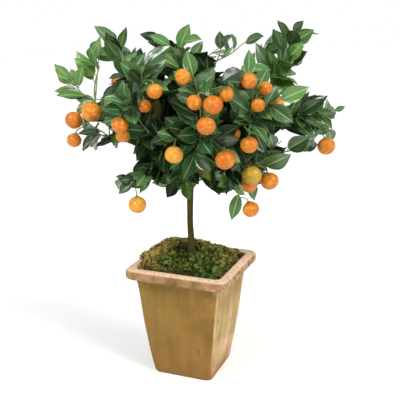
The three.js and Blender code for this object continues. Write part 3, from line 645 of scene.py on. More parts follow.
def leaf_from_spot(spot, pitch, turn, length, random):
    point, direction = spot
    along = leaving(direction, between(pitch, random), turn)
    along = unit(along + outward_from(point) * LEAF_OUTWARD)
    face = face_for(along, point, between(LEAF_ROLL, random))
    return leaf_shape(point, along, face, between(length, random), random)


def lower_root(twigs, root, tip):
    """The root, slid down its twig so that the blade leaves the twig at a slant."""
    def distance(path, share):
        return np.linalg.norm(spot_on(path, share * length_of(path))[0] - root)
    shares = np.linspace(0, 1, SLANT_STEPS)
    path = min(twigs, key=lambda twig: min(distance(twig, share) for share in shares))
    reach = length_of(path) * min(shares, key=lambda share: distance(path, share))
    _, along = spot_on(path, reach)
    ahead = (tip - root) @ along
    aside = np.linalg.norm(tip - root - ahead * along)
    return spot_on(path, max(0.0, reach - max(0.0, SLANT * aside - ahead)))[0]


def shown(leaf, roll, twigs=None):
    """The same leaf, from root to tip, with its blade turned about the line between them."""
    tip = blade_points(leaf, np.ones(1), np.zeros(1), np.zeros(1))[0]
    root = lower_root(twigs, leaf["root"], tip) if twigs and "starts_lower" in leaf else leaf["root"]
    reach = np.linalg.norm(tip - root)
    chord = (tip - root) / reach
    ahead = np.array([0, -SHOW_AHEAD if root[1] < CROWN_SPLIT else SHOW_AHEAD, 0])
    wanted = outward_from(root) * SHOW_OUT + ahead + UP * SHOW_UP
    face = turned(unit(wanted - chord * (wanted @ chord)), chord, roll)
    bend = leaf["bend"] * SHOW_BEND
    return {**leaf, "root": root, "bend": bend, "half": leaf["half"] * SHOW_HALF,
            "along": chord * math.cos(bend / 2) + face * math.sin(bend / 2),
            "face": face * math.cos(bend / 2) - chord * math.sin(bend / 2),
            "length": reach * (bend / 2) / math.sin(bend / 2)}


def settle(name, room, leaves, is_inside, try_leaf, leaf_room=LEAF_ROOM, rod_clear=TWIG_CLEAR):
    """The first clear leaf of several tries, kept in the room."""
    for attempt in range(LEAF_TRIES):
        leaf = try_leaf(attempt)
        points, free = blade_samples(leaf)
        if is_inside(points) and room.is_clear(points, free, name, leaf_room, rod_clear):
            leaves.append(leaf)
            room.add_blade(points)
            return


def grow_tip_leaves(name, spray, room, random):
    for tip in SPRAYS[name][1]:
        def try_leaf(attempt):
            roll = (-1 if attempt % 2 else 1) * RETRY_ROLL * math.ceil(attempt / 2)
            return leaf_to_tip(spray["twigs"], vec(tip), roll, random)
        settle(name, room, spray["leaves"], lambda points: True, try_leaf)


def grow_leaves(name, spray, room, random):
    for twig, path in enumerate(spray["twigs"]):
        length = length_of(path)
        for k in range(math.floor(length * (1 - LEAF_BARE) / LEAF_STEP) + 1):
            spot = spot_on(path, length - k * LEAF_STEP)
            pitch = LEAF_PITCH if k else END_LEAF_PITCH

            def try_leaf(attempt):
                turn = k * TURN_PER_LEAF + twig + RETRY_TURN * attempt * random()
                return leaf_from_spot(spot, pitch, turn, LEAF_LENGTH, random)
            settle(name, room, spray["leaves"], lambda points: in_crown(points).all(), try_leaf)


def show_leaves(sprays, room, random):
    """Turns the blades of the CAD solids' leaves to face out, and refills the room with them."""
    room.blades = []
    for name, spray in sprays.items():
        kept = []
        hanging = len(SPRAYS[name][1]) if name in HANGING else 0
        for place, leaf in enumerate(spray["leaves"]):
            whole = [] if place < hanging else room.whole
            if share_in_gaps(blade_samples(leaf)[0]) > GAP_SHARE:
                continue
            best = None
            for attempt in range(LEAF_TRIES):
                turn = between(SHOW_ROLL, random) + (attempt % 2 * 2 - 1) * RETRY_ROLL * (attempt // 2)
                tried = shown(leaf, turn, None if hanging else spray["twigs"])
                points, _ = blade_samples(tried)
                ball = middle_and_reach(points)
                if room.hits_ball(points, *ball) or hides_fruit(points, whole):
                    continue
                best = best or tried
                if not room.has_leaf_near(points, *ball, SHOW_ROOM):
                    best = tried
                    break
            if best is not None:
                kept.append(best)
                room.add_blade(blade_samples(best)[0])
        spray["leaves"] = kept


def grow_shoots(sprays, room, random):
    """Short twigs along the limbs, each given to the spray at its limb's end."""
    for limb, _ in LIMBS:
        path = [vec(point) for point in limb]
        name = min(sprays, key=lambda spray: np.linalg.norm(sprays[spray]["twigs"][0][0] - path[-1]))
        length = length_of(path)
        for k in range(math.floor(length * (1 - SHOOT_BARE) / SHOOT_STEP) + 1):
            point, along = spot_on(path, length - k * SHOOT_STEP)
            for _ in range(LEAF_TRIES):
                pitch = between(SHOOT_PITCH, random)
                way = leaving(along, pitch, k * TURN_PER_LEAF + SIDE_TURN * random())
                way = unit(way + outward_from(point) * SHOOT_OUTWARD)
                shoot = [point, point + way * between(SHOOT_REACH, random)]
                points, free = twig_samples(shoot)
                if (in_crown(points, SHOOT_DEPTH).all() and share_in_gaps(points) == 0
                        and room.is_clear(points, free, "wood", SHOOT_ROOM, SHOOT_TWIG_CLEAR)):
                    sprays[name]["shoots"].append(shoot)
                    room.add_rod(shoot, SIDE_RADII[0], name)
                    break


def grow_inner_leaves(name, spray, room, random):
    """More leaves, which fill the crown between those of the CAD solids."""
    depth, coarser = FILL_OUTER.get(name, FILL_DEPTH)
    for twig, path in enumerate(spray["twigs"] + spray["shoots"]):
        length = length_of(path)
        for k in range(0, math.floor(length / FILL_STEP) + 1, coarser):
            spot = spot_on(path, length - k * FILL_STEP)

            def try_leaf(attempt):
                turn = k * TURN_PER_LEAF + twig + attempt * random()
                pitch = FILL_PITCH if k else END_LEAF_PITCH
                leaf = leaf_from_spot(spot, pitch, turn, FILL_LENGTH, random)
                return shown(leaf, between(SHOW_ROLL, random) * 2)

            def is_inside(points):
                return (in_crown(points, depth).all() and share_in_gaps(points) == 0
                        and not hides_fruit(points, room.whole))
            settle(name, room, spray["inner"], is_inside, try_leaf, FILL_ROOM, FILL_TWIG_CLEAR)


def hanging_fruit(fruit, sprays):
    """Where a fruit hangs: its axis points from its middle to the calyx, towards its twig."""
    name, middle, radius, ripeness = fruit
    centre = vec(middle)
    twig_point = nearest_on(sprays[name]["twigs"], centre + UP * radius)
    axis = unit(unit(twig_point - centre) * STALK_TO_TWIG + UP * STALK_UP)
    calyx = centre + axis * (radius * FRUIT_FLATNESS + FIT_GAP)
    rise = min(STALK_RISE, np.linalg.norm(calyx - twig_point) / 2)
    return {"spray": name, "centre": centre, "radius": radius, "ripeness": ripeness, "axis": axis,
            "whole": centre[1] < WHOLE_BEFORE and middle not in PARTLY_HIDDEN,
            "stalk": [twig_point, calyx + axis * rise, calyx]}


def make_rods():
    """The wood: a path, the radius at each of its points, and the sides of its CAD solid."""
    rods = [(TRUNK_PATH, TRUNK_RADII, 8)]
    for k in range(ROOT_COUNT):
        turn = k * 2 * math.pi / ROOT_COUNT + ROOT_SWING * math.sin(5 * k)
        x, y = TRUNK_PATH[1][:2]
        path = [[x + out * math.cos(turn), y + out * math.sin(turn), z] for out, z in ROOT_SHAPE]
        rods.append((path, ROOT_RADII, 4))
    rods += [(path, radii, 4) for path, radii in LIMBS]
    return [([vec(point) for point in path], radii, sides) for path, radii, sides in rods]


def grow_crown(rods):
    """All sprays and fruits: first what the CAD solids have, then what only the visual model has."""
    room = Room()
    for path, radii, _ in rods:
        room.add_rod(path, radii[0], "wood")
    sprays = {}
    for name, (twigs, _) in SPRAYS.items():
        paths = [[vec(point) for point in path] for path in twigs]
        sprays[name] = {"twigs": paths, "leaves": [], "shoots": [], "inner": []}
        for path in paths:
            room.add_rod(path, TWIG_RADII[0], name)
    fruits = [hanging_fruit(fruit, sprays) for fruit in FRUITS]
    for fruit in fruits:
        room.balls.append((fruit["centre"], fruit["radius"]))
        room.add_rod(fruit["stalk"], STALK_RADIUS, fruit["spray"])
    room.whole = [ball for ball, fruit in zip(room.balls, fruits) if fruit["whole"]]

    def grow_each(grow, seed):
        for i, name in enumerate(SPRAYS):
            grow(name, sprays[name], room, seeded(i + seed))
    grow_each(grow_tip_leaves, TIP_SEED)
    grow_each(grow_side_twigs, SIDE_SEED)
    grow_each(grow_leaves, LEAF_SEED)
    for name in HANGING:
        for leaf in sprays[name]["leaves"][:len(SPRAYS[name][1])]:
            room.whole.append((blade_samples(leaf)[0].mean(axis=0), HANGING_REACH))
    show_leaves(sprays, room, seeded(SHOW_SEED))
    grow_shoots(sprays, room, seeded(SHOOT_SEED))
    grow_each(grow_inner_leaves, INNER_SEED)
    return sprays, fruits


# Meshes

class Build:
    """Points and faces gathered for one mesh, with the finish and the marks that each part has."""

    def __init__(self, *marks):
        self.points, self.quads, self.tris, self.finishes = [], [], [], []
        self.marks = {mark: [] for mark in marks}
        self.count = 0

    def add(self, points, quads=(), tris=(), finish=0, **marks):
        points = np.asarray(points, float).reshape(-1, 3)
        quads = np.asarray(quads, int).reshape(-1, 4)
        tris = np.asarray(tris, int).reshape(-1, 3)
        self.points.append(points)
        self.quads.append((quads + self.count, finish))
        self.tris.append((tris + self.count, finish))
        for mark, values in self.marks.items():
            value = np.asarray(marks.get(mark, (0, 0, 0)), float)
            values.append(np.broadcast_to(value, points.shape))
        self.count += len(points)

    def piece(self, name, *materials):
        mesh = bpy.data.meshes.new(name)
        groups = [group for group in self.quads + self.tris if len(group[0])]
        loops = np.concatenate([faces.ravel() for faces, _ in groups])
        sizes = np.concatenate([np.full(len(faces), faces.shape[1]) for faces, _ in groups])
        finishes = np.concatenate([np.full(len(faces), finish) for faces, finish in groups])
        mesh.vertices.add(self.count)
        mesh.vertices.foreach_set("co", np.concatenate(self.points).astype(np.float32).ravel())
        mesh.loops.add(len(loops))
        mesh.loops.foreach_set("vertex_index", loops.astype(np.int32))
        mesh.polygons.add(len(sizes))
        mesh.polygons.foreach_set("loop_start", (np.cumsum(sizes) - sizes).astype(np.int32))
        mesh.polygons.foreach_set("material_index", finishes.astype(np.int32))
        shape_smooth(mesh)
        for material in materials:
            mesh.materials.append(material)
        for mark, values in self.marks.items():
            attribute = mesh.attributes.new(mark, "FLOAT_VECTOR", "POINT")
            attribute.data.foreach_set("vector", np.concatenate(values).astype(np.float32).ravel())
        mesh.update(calc_edges=True)
        mesh.validate()
        return link(name, mesh)


def link(name, data):
    piece = bpy.data.objects.new(name, data)
    bpy.context.scene.collection.objects.link(piece)
    return piece


def take_part(piece, slot, *replaced):
    """Ties a piece to the part's one body, in the place of CAD nodes if any; the slot is not used."""
    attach(piece, "root")
    if replaced:
        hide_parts(*replaced)


def shape_smooth(mesh):
    mesh.polygons.foreach_set("use_smooth", np.ones(len(mesh.polygons), bool))


def settled(rough, name, material):
    """A mesh of the piece as its modifiers leave it, in the place of the rough piece."""
    shape = rough.evaluated_get(bpy.context.evaluated_depsgraph_get())
    mesh = bpy.data.meshes.new_from_object(shape)
    bpy.data.objects.remove(rough)
    mesh.name = name
    mesh.materials.clear()
    mesh.materials.append(material)
    shape_smooth(mesh)
    return mesh


def band_quads(rings, count, closed=True):
    """The faces between rings of equal count, which close round on themselves or are open rows."""
    ring = np.arange(rings - 1)[:, None] * count
    step = np.arange(count if closed else count - 1)
    a = ring + step
    b = ring + (step + 1) % count
    return np.stack([a, b, b + count, a + count], axis=-1).reshape(-1, 4)


RADIUS_WEIGHT = 4


def smooth_path(points, step, fewest=2):
    """A centripetal Catmull-Rom curve through the points, with a point about every step."""
    points = np.asarray(points, float)
    points = np.vstack([2 * points[0] - points[1], points, 2 * points[-1] - points[-2]])
    knots = np.concatenate([[0], np.cumsum(np.linalg.norm(np.diff(points, axis=0), axis=1) ** 0.5)])
    curve = [points[1]]
    for i in range(1, len(points) - 2):
        p0, p1, p2, p3 = points[i - 1:i + 3]
        t0, t1, t2, t3 = knots[i - 1:i + 3]
        count = max(fewest, round(np.linalg.norm(p2 - p1) / step))
        for t in (t1 + (t2 - t1) * (k + 1) / count for k in range(count)):
            a1 = (p0 * (t1 - t) + p1 * (t - t0)) / (t1 - t0)
            a2 = (p1 * (t2 - t) + p2 * (t - t1)) / (t2 - t1)
            a3 = (p2 * (t3 - t) + p3 * (t - t2)) / (t3 - t2)
            b1 = (a1 * (t2 - t) + a2 * (t - t0)) / (t2 - t0)
            b2 = (a2 * (t3 - t) + a3 * (t - t1)) / (t3 - t1)
            curve.append((b1 * (t2 - t) + b2 * (t - t1)) / (t2 - t1))
    return np.array(curve)


def smooth_rod(path, radii, step):
    """A smooth path with a radius at each of its points."""
    rows = smooth_path([[*point, radius * RADIUS_WEIGHT] for point, radius in zip(path, radii)], step)
    return rows[:, :3], rows[:, 3] / RADIUS_WEIGHT


def tube(path, radii, sides):
    """Points, quads and end fans of a closed round tube."""
    path, radii = np.asarray(path, float), np.asarray(radii, float)
    alongs = np.gradient(path, axis=0)
    across = np.array([1, 0.2, 0.1])
    turns = np.arange(sides) * 2 * math.pi / sides
    rings = []
    for point, radius, along in zip(path, radii, alongs):
        along = unit(along)
        across = unit(across - along * (across @ along))
        over = cross(along, across)
        rings.append(point + radius * (np.cos(turns)[:, None] * across + np.sin(turns)[:, None] * over))
    last = (len(path) - 1) * sides
    first_pole, last_pole = last + sides, last + sides + 1
    around = np.arange(sides)
    after = (around + 1) % sides
    tris = [np.stack([after, around, np.full(sides, first_pole)], axis=-1),
            np.stack([last + around, last + after, np.full(sides, last_pole)], axis=-1)]
    points = np.vstack([*rings, path[0], path[-1]])
    return points, band_quads(len(path), sides), np.concatenate(tris)


def taper(path, radii):
    return np.linspace(radii[0], radii[-1], len(path))


# Materials

class Finish:
    """A material, whose nodes are each made and wired by one call."""

    def __init__(self, name, colours=None, **fixed):
        self.colours = colours
        self.material = bpy.data.materials.new(name)
        self.material.use_nodes = True
        self.tree = self.material.node_tree
        self.surface = self.tree.nodes["Principled BSDF"]
        for socket, value in fixed.items():
            self.surface.inputs[socket.replace("_", " ")].default_value = value
        self.place = self.node("ShaderNodeTexCoord", output="Object")

    def node(self, kind, inputs=None, output=0, **settings):
        node = self.tree.nodes.new(kind)
        for key, value in settings.items():
            setattr(node, key, value)
        for socket, value in (inputs or {}).items():
            if isinstance(value, bpy.types.NodeSocket):
                self.tree.links.new(value, node.inputs[socket])
            else:
                node.inputs[socket].default_value = value
        return node.outputs[output]

    def put(self, socket, value):
        self.tree.links.new(value, self.surface.inputs[socket])

    def drawn_out(self, share):
        """Places whose texture is drawn out along Z: a share below 1 makes upright streaks."""
        return self.node("ShaderNodeMapping", {"Vector": self.place, "Scale": (1, 1, share)})

    def noise(self, scale, detail=4, vector=None, distortion=0.0):
        return self.node("ShaderNodeTexNoise", {"Vector": vector or self.place, "Scale": scale,
                                                "Detail": detail, "Roughness": 0.55,
                                                "Distortion": distortion}, output="Fac")

    def cells(self, scale, output="Distance"):
        return self.node("ShaderNodeTexVoronoi", {"Vector": self.place, "Scale": scale}, output=output)

    def ramp(self, value, low, high, start=0.0, end=1.0):
        """value, carried from the span low to high onto the span start to end, and held there."""
        return self.node("ShaderNodeMapRange", {"Value": value, "From Min": low, "From Max": high,
                                                "To Min": start, "To Max": end})

    def patchy(self, scale, detail, low, high, start=0.0, end=1.0):
        """Noise, carried from the span low to high onto the span start to end."""
        return self.ramp(self.noise(scale, detail), low, high, start, end)

    def sums(self, kind, a, b):
        return self.node("ShaderNodeMath", {0: a, 1: b}, operation=kind)

    def times(self, value, *others):
        for other in others:
            value = self.sums("MULTIPLY", value, other)
        return value

    def colour(self, value):
        """A colour by its name among the finish's own, by its three numbers, or from a node."""
        if isinstance(value, str):
            value = self.colours[value]
        return (*value, 1) if isinstance(value, tuple) else value

    def mix(self, share, a, b, blend="MIX"):
        return self.node("ShaderNodeMix", {0: share, 6: self.colour(a), 7: self.colour(b)}, output=2,
                         data_type="RGBA", blend_type=blend)

    def layers(self, colour, *layers):
        """A colour with others over it, each with the share that it covers."""
        for share, over in layers:
            colour = self.mix(share, colour, over)
        return colour

    def parts(self, vector):
        return tuple(self.node("ShaderNodeSeparateXYZ", {"Vector": vector}).node.outputs)

    def attribute(self, name):
        return self.parts(self.node("ShaderNodeAttribute", output="Vector", attribute_name=name))

    def roughness(self, low, high, scale, detail=4):
        self.put("Roughness", self.patchy(scale, detail, 0.3, 0.7, low, high))

    def bump(self, *layers):
        """Bump from layers of height and depth, the depth in metres."""
        normal = None
        for height, depth in layers:
            inputs = {"Height": height, "Distance": depth, "Strength": 1.0}
            if normal is not None:
                inputs["Normal"] = normal
            normal = self.node("ShaderNodeBump", inputs)
        self.put("Normal", normal)


LEAF_COLOURS = {
    "deep": (0.005, 0.026, 0.007), "light": (0.084, 0.212, 0.031), "patch": (0.034, 0.125, 0.045),
    "cool": (0.018, 0.1, 0.048), "young": (0.15, 0.34, 0.04), "yellowed": (0.42, 0.4, 0.04),
    "underside": (0.062, 0.14, 0.035), "vein": (0.36, 0.5, 0.19), "shadow": (0.18, 0.18, 0.18),
}
SIDE_VEINS = 9.0
VEIN_SLANT = 1.6


def leaf_finish(name, coat, specular):
    """Glossier above than below, with a pale midrib and side veins.

    leaf_spot holds the place across and along the blade and a shade, a random tone times the painted
    light of the leaf's place in the crown; leaf_kind holds 1 on the underside, the leaf's youth, and how
    much it has yellowed."""
    finish = Finish(name, LEAF_COLOURS, Coat_Weight=coat, Coat_Roughness=0.16,
                    Specular_IOR_Level=specular)
    ramp, patchy, times = finish.ramp, finish.patchy, finish.times
    across, along, shade = finish.attribute("leaf_spot")
    under, young, yellow = finish.attribute("leaf_kind")
    blade = finish.layers(
        "deep",
        # deep to light green by the shade mark: random tone, and painted shade deep in the crown
        (ramp(shade, 0.15, 0.85), "light"),
        (patchy(55, 3, 0.35, 0.7, 0.0, 0.5), "patch"),
        (patchy(11, 2, 0.46, 0.62, 0.0, 0.55), "cool"),
        (young, "young"),
        (yellow, "yellowed"),
        (times(under, 0.75), "underside"))
    side = finish.sums("ABSOLUTE", across, 0.0)
    slant = finish.sums("SUBTRACT", times(along, SIDE_VEINS), times(side, VEIN_SLANT))
    vein = ramp(finish.sums("PINGPONG", slant, 0.5), 0.0, 0.085, 1.0, 0.0)
    vein = times(vein, ramp(side, 0.75, 1.0, 0.38, 0.0))
    rib = ramp(side, 0.03, 0.1, 1.0, 0.0)
    lines = finish.sums("MAXIMUM", times(rib, 0.85), vein)
    # A pale band along the blade's edge: partly a painted highlight on the edges
    margin_and_highlight = ramp(side, 0.88, 0.97, 0.0, 0.45)
    colour = finish.mix(finish.sums("MAXIMUM", lines, margin_and_highlight), blade, "vein")
    # Painted shade: a leaf whose shade mark is low is darkened further by the shadow tint
    shaded = finish.mix(1.0, colour, "shadow", "MULTIPLY")
    finish.put("Base Color", finish.mix(ramp(shade, 0.0, 0.32, 0.05, 1.0), shaded, colour))
    gloss = patchy(90, 2, 0.3, 0.7, 0.24, 0.4)
    finish.put("Roughness", finish.sums("ADD", gloss, times(under, 0.3)))
    finish.bump((lines, 0.0002), (finish.noise(420, 2), 0.00012))
    return finish.material


def green_wood_finish(name, specular, colours, patches, roughness, grain):
    """Green that turns brown in patches: patches is their scale, roughness its span and scale."""
    finish = Finish(name, Specular_IOR_Level=specular)
    finish.put("Base Color", finish.mix(finish.patchy(patches, 4, 0.35, 0.65), *colours))
    finish.roughness(*roughness)
    finish.bump((finish.noise(*grain), 0.0003))
    return finish.material


def twig_finish():
    colours = ((0.13, 0.19, 0.045), (0.26, 0.25, 0.09))
    return green_wood_finish("green_twig", 0.4, colours, 70, (0.45, 0.7, 150), (900, 3))


def calyx_finish():
    colours = ((0.1, 0.15, 0.035), (0.24, 0.19, 0.08))
    return green_wood_finish("dry_calyx", 0.5, colours, 240, (0.55, 0.75, 300), (1200, 2))


# For each ripeness, the peel's deep and light colours, and how green it is around the calyx
PEEL_COLOURS = {
    "orange": ((0.53, 0.13, 0.004), (0.66, 0.245, 0.014), 0.1),
    "amber": ((0.64, 0.25, 0.016), (0.72, 0.34, 0.035), 0.3),
    "green": ((0.3, 0.27, 0.025), (0.6, 0.26, 0.02), 0.8),
}
PEEL_GREEN = (0.3, 0.34, 0.03)
PEEL_PALE = (0.88, 0.46, 0.12)
PEEL_RUSSET = (0.5, 0.2, 0.05)
MOTTLE_SHARE = 0.72


def peel_finish(ripeness):
    """peel_spot holds how far a point is from the calyx, as 0 to 1, and the fruit's own shade."""
    deep, light, green = PEEL_COLOURS[ripeness]
    finish = Finish(f"peel_{ripeness}", Subsurface_Weight=0.12, Subsurface_Scale=0.004,
                    Subsurface_Radius=(1.0, 0.45, 0.12), Specular_IOR_Level=0.32, Coat_Weight=0.05,
                    Coat_Roughness=0.3)
    ramp, patchy = finish.ramp, finish.patchy
    far, shade, _ = finish.attribute("peel_spot")
    blend = finish.sums("ADD", patchy(38, 3, 0.3, 0.7), ramp(shade, 0, 1, -0.4, 0.4))
    pores = finish.cells(640)
    mottle = finish.noise(190, 4)
    finish.put("Base Color", finish.layers(
        deep,
        (ramp(blend, 0.0, 1.0), light),
        (ramp(far, 0.0, 0.42, green, 0.0), PEEL_GREEN),
        (ramp(pores, 0.0, 0.3, 0.22, 0.0), deep),
        (ramp(mottle, 0.46, 0.66, 0.0, 0.65), tuple(MOTTLE_SHARE * value for value in deep)),
        (ramp(mottle, 0.44, 0.3, 0.0, 0.45), PEEL_PALE),
        (patchy(120, 5, 0.66, 0.78, 0.0, 0.35), PEEL_RUSSET)))
    finish.roughness(0.3, 0.44, 150, 2)
    finish.bump((ramp(pores, 0.0, 0.45), 0.00022), (finish.noise(300, 2), 0.0001))
    return finish.material


BARK_COLOURS = {
    "deep": (0.034, 0.022, 0.005), "brown": (0.114, 0.079, 0.021), "green": (0.063, 0.064, 0.012),
    "lichen": (0.12, 0.1, 0.035),
}


def bark_finish():
    finish = Finish("citrus_bark", BARK_COLOURS, Specular_IOR_Level=0.12)
    streak = finish.noise(90, 5, finish.drawn_out(0.16))
    finish.put("Base Color", finish.layers(
        "deep",
        (finish.ramp(streak, 0.32, 0.68), "brown"),
        (finish.patchy(30, 3, 0.42, 0.62, 0.0, 0.6), "green"),
        (finish.patchy(160, 4, 0.6, 0.7, 0.0, 0.55), "lichen")))
    finish.put("Roughness", finish.ramp(streak, 0.3, 0.7, 0.62, 0.88))
    finish.bump((streak, 0.0012), (finish.noise(600, 4), 0.0004))
    return finish.material


SOIL_COLOURS = ((0.012, 0.008, 0.005), (0.06, 0.038, 0.022))


def soil_finish():
    finish = Finish("potting_soil", Specular_IOR_Level=0.2)
    colour = finish.mix(finish.patchy(200, 5, 0.3, 0.7), *SOIL_COLOURS)
    crumbs = finish.mix(1.0, colour, finish.cells(260, output="Color"), "MULTIPLY")
    finish.put("Base Color", finish.mix(0.35, colour, crumbs))
    finish.roughness(0.8, 1.0, 400)
    finish.bump((finish.cells(260), 0.002), (finish.noise(700, 4), 0.0006))
    return finish.material


MOSS_COLOURS = {
    "deep": (0.014, 0.034, 0.005), "green": (0.05, 0.09, 0.007), "bright": (0.36, 0.45, 0.09),
    # between is painted shade in the gaps between clumps
    "brown": (0.085, 0.05, 0.011), "straw": (0.9, 0.68, 0.19), "between": (0.01, 0.013, 0.005),
    # the colour for the tops of clumps is a painted highlight, and foot is painted shade at the shoots'
    # feet
    "crest_highlight": (0.42, 0.46, 0.13), "foot": (0.016, 0.015, 0.005),
}


def moss_finish():
    """moss_spot holds a shoot's shade, partly random and partly painted light and shade, the height along
    it, and how dry its patch is.
    """
    finish = Finish("cushion_moss", MOSS_COLOURS, Specular_IOR_Level=0.12)
    ramp = finish.ramp
    shade, height, dry = finish.attribute("moss_spot")
    clumps = finish.noise(120, 2)
    tan = finish.mix(ramp(shade, 0.15, 0.85), "brown", "straw")
    finish.put("Base Color", finish.layers(
        "deep",
        (finish.patchy(36, 3, 0.36, 0.64), "green"),
        # bright tips by the shade mark, which is partly painted light
        (ramp(shade, 0.4, 0.95), "bright"),
        (dry, tan),
        # painted shade in the gaps between clumps
        (ramp(clumps, 0.47, 0.36, 0.0, 0.8), "between"),
        # painted highlight on the tops of clumps
        (ramp(clumps, 0.54, 0.68, 0.0, 0.45), "crest_highlight"),
        # painted shade towards each shoot's foot
        (ramp(height, 0.0, 0.75, 0.88, 0.0), "foot")))
    finish.roughness(0.7, 0.95, 300)
    finish.bump((finish.noise(900, 3), 0.0006))
    return finish.material


POT_COLOURS = {
    "deep": (0.206, 0.107, 0.018), "ochre": (0.286, 0.156, 0.034), "olive": (0.215, 0.16, 0.032),
    "light_streak": (0.36, 0.215, 0.065), "dark_streak": (0.15, 0.072, 0.014),
    # below_tide and above_tide paint the right face lighter, as the sunlit side, with a tide mark between
    # them
    # the corner colour on this line is partly wear and partly a painted highlight
    "below_tide": (0.65, 0.445, 0.25), "above_tide": (0.5, 0.375, 0.17), "wear_and_highlight": (0.64, 0.45, 0.24),
    "rim_deep": (0.17, 0.09, 0.028), "rim_light": (0.34, 0.195, 0.082), "rim_pink": (0.4, 0.195, 0.1),
    "chalk": (0.83, 0.58, 0.4), "foot": (0.22, 0.098, 0.024), "bloom": (0.62, 0.47, 0.34),
    "grime": (0.17, 0.1, 0.032), "grain": (0.2, 0.11, 0.04), "gouge": (0.07, 0.045, 0.015),
    "darker_bottom": (0.2, 0.115, 0.04),
}
# The gouge on the pot's front face: its middle, in metres, and how sharply it ends along each axis
GOUGE_PLACE = (0.039, -0.0668, 0.063)
GOUGE_SCALE = (850, 60, 130)


def rim_colour(finish, z):
    top = finish.ramp(z, 0.2205, 0.2235)
    chalk = finish.patchy(130, 6, 0.36, 0.64, 0.55, 1.0)
    return finish.layers(
        "rim_deep",
        (finish.patchy(55, 5, 0.36, 0.62), "rim_light"),
        (finish.patchy(24, 3, 0.45, 0.62, 0.0, 0.6), "rim_pink"),
        (finish.times(top, chalk), "chalk"))


def sunlit_side_colour(finish, y, z):
    """The pot's right face, painted lighter as the side the sun falls on, with a tide mark that slopes
    and wavers.
    """
    tide = finish.sums("ADD", z, finish.times(y, 0.3))
    tide = finish.sums("ADD", tide, finish.patchy(34, 6, 0.3, 0.7, -0.009, 0.009))
    return finish.mix(finish.ramp(tide, 0.063, 0.073), "below_tide", "above_tide")


def gouge_share(finish):
    gouge = finish.node("ShaderNodeVectorMath", {0: finish.place, 1: GOUGE_PLACE}, operation="SUBTRACT")
    gouge = finish.node("ShaderNodeVectorMath", {0: gouge, 1: GOUGE_SCALE}, operation="MULTIPLY")
    gouge = finish.node("ShaderNodeVectorMath", {0: gouge}, output="Value", operation="LENGTH")
    return finish.ramp(finish.sums("ADD", gouge, finish.noise(260, 3)), 1.0, 1.5, 0.8, 0.0)


def pot_finish():
    """Unglazed earthenware: sandy ochre, pinkish at the rim, with streaks, stains and a chalky bloom."""
    finish = Finish("earthenware", POT_COLOURS, Specular_IOR_Level=0.25)
    ramp, patchy, times = finish.ramp, finish.patchy, finish.times
    x, y, z = finish.parts(finish.place)
    half = ramp(z, 0.0, BODY_TOP * MM, BASE_HALF * MM, BODY_TOP_HALF * MM)
    streaks = finish.noise(60, 6, finish.drawn_out(0.06))
    left = times(ramp(x, 0.02, -0.07), ramp(z, 0.03, 0.17, 0.2, 1.0))
    # The right face, painted lighter in streaky patches as the sunlit side
    sunlit_side = times(ramp(finish.sums("SUBTRACT", x, half), -0.003, -0.0005),
                  ramp(finish.noise(30, 5, finish.drawn_out(0.3)), 0.36, 0.6, 0.25, 0.95))
    # Paler vertical corners: partly wear, and partly a painted highlight on the edges that is full only
    # at the sunlit front-right corner
    nearest = finish.sums("MINIMUM", finish.sums("ABSOLUTE", x, 0.0), finish.sums("ABSOLUTE", y, 0.0))
    wear_and_highlight = times(ramp(finish.sums("DIVIDE", nearest, half), 0.94, 0.985),
                 patchy(40, 5, 0.35, 0.6, 0.45, 0.95),
                 ramp(finish.sums("SUBTRACT", x, y), 0.02, 0.12, 0.35, 1.0))
    bloom = times(patchy(80, 8, 0.48, 0.64), ramp(z, 0.16, 0.205), ramp(x, 0.045, 0.095, 0.08, 0.7))
    grains = finish.cells(820)
    gouge = gouge_share(finish)
    finish.put("Base Color", finish.layers(
        "deep",
        (ramp(finish.noise(15, 5, distortion=0.4), 0.34, 0.66), "ochre"),
        (times(left, patchy(18, 4, 0.35, 0.6, 0.15, 0.85)), "olive"),
        (ramp(streaks, 0.5, 0.7, 0.0, 0.36), "light_streak"),
        (ramp(streaks, 0.47, 0.3, 0.0, 0.33), "dark_streak"),
        # painted light on the right face, with its tide mark
        (sunlit_side, sunlit_side_colour(finish, y, z)),
        # wear and a painted highlight on the corners
        (wear_and_highlight, "wear_and_highlight"),
        (ramp(z, 0.2035, 0.2055), rim_colour(finish, z)),
        (times(ramp(z, 0.085, 0.01), patchy(24, 5, 0.38, 0.62, 0.1, 0.75)), "foot"),
        (bloom, "bloom"),
        (patchy(90, 6, 0.6, 0.72, 0.0, 0.5), "grime"),
        (ramp(grains, 0.0, 0.22, 0.3, 0.0), "grain"),
        (gouge, "gouge"),
        # Darker in the last 16 mm towards the bottom
        (ramp(z, 0.016, 0.0, 0.0, 0.4), "darker_bottom")))
    finish.roughness(0.72, 0.95, 60)
    finish.bump((finish.noise(60, 5, finish.drawn_out(0.1)), 0.0016), (finish.noise(500, 5), 0.0008),
                (grains, 0.0004), (gouge, -0.0012))
    return finish.material


def backdrop_finish():
    finish = Finish("white_backdrop", Base_Color=(0, 0, 0, 1), Specular_IOR_Level=0.0,
                    Emission_Strength=1.0)
    finish.put("Emission Color", finish.mix(finish.noise(0.2, 1), (1, 1, 1), (0.995, 0.998, 1)))
    return finish.material


def stage_finish():
    finish = Finish("pale_floor", Specular_IOR_Level=0.1, Emission_Color=(1, 1, 1, 1),
                    Emission_Strength=0.14)
    tone = finish.patchy(3, 2, 0.3, 0.7)
    finish.put("Base Color", finish.mix(tone, (0.93, 0.93, 0.92), (0.95, 0.95, 0.94)))
    finish.roughness(0.85, 0.95, 40)
    return finish.material


# Leaves, twigs and stalks

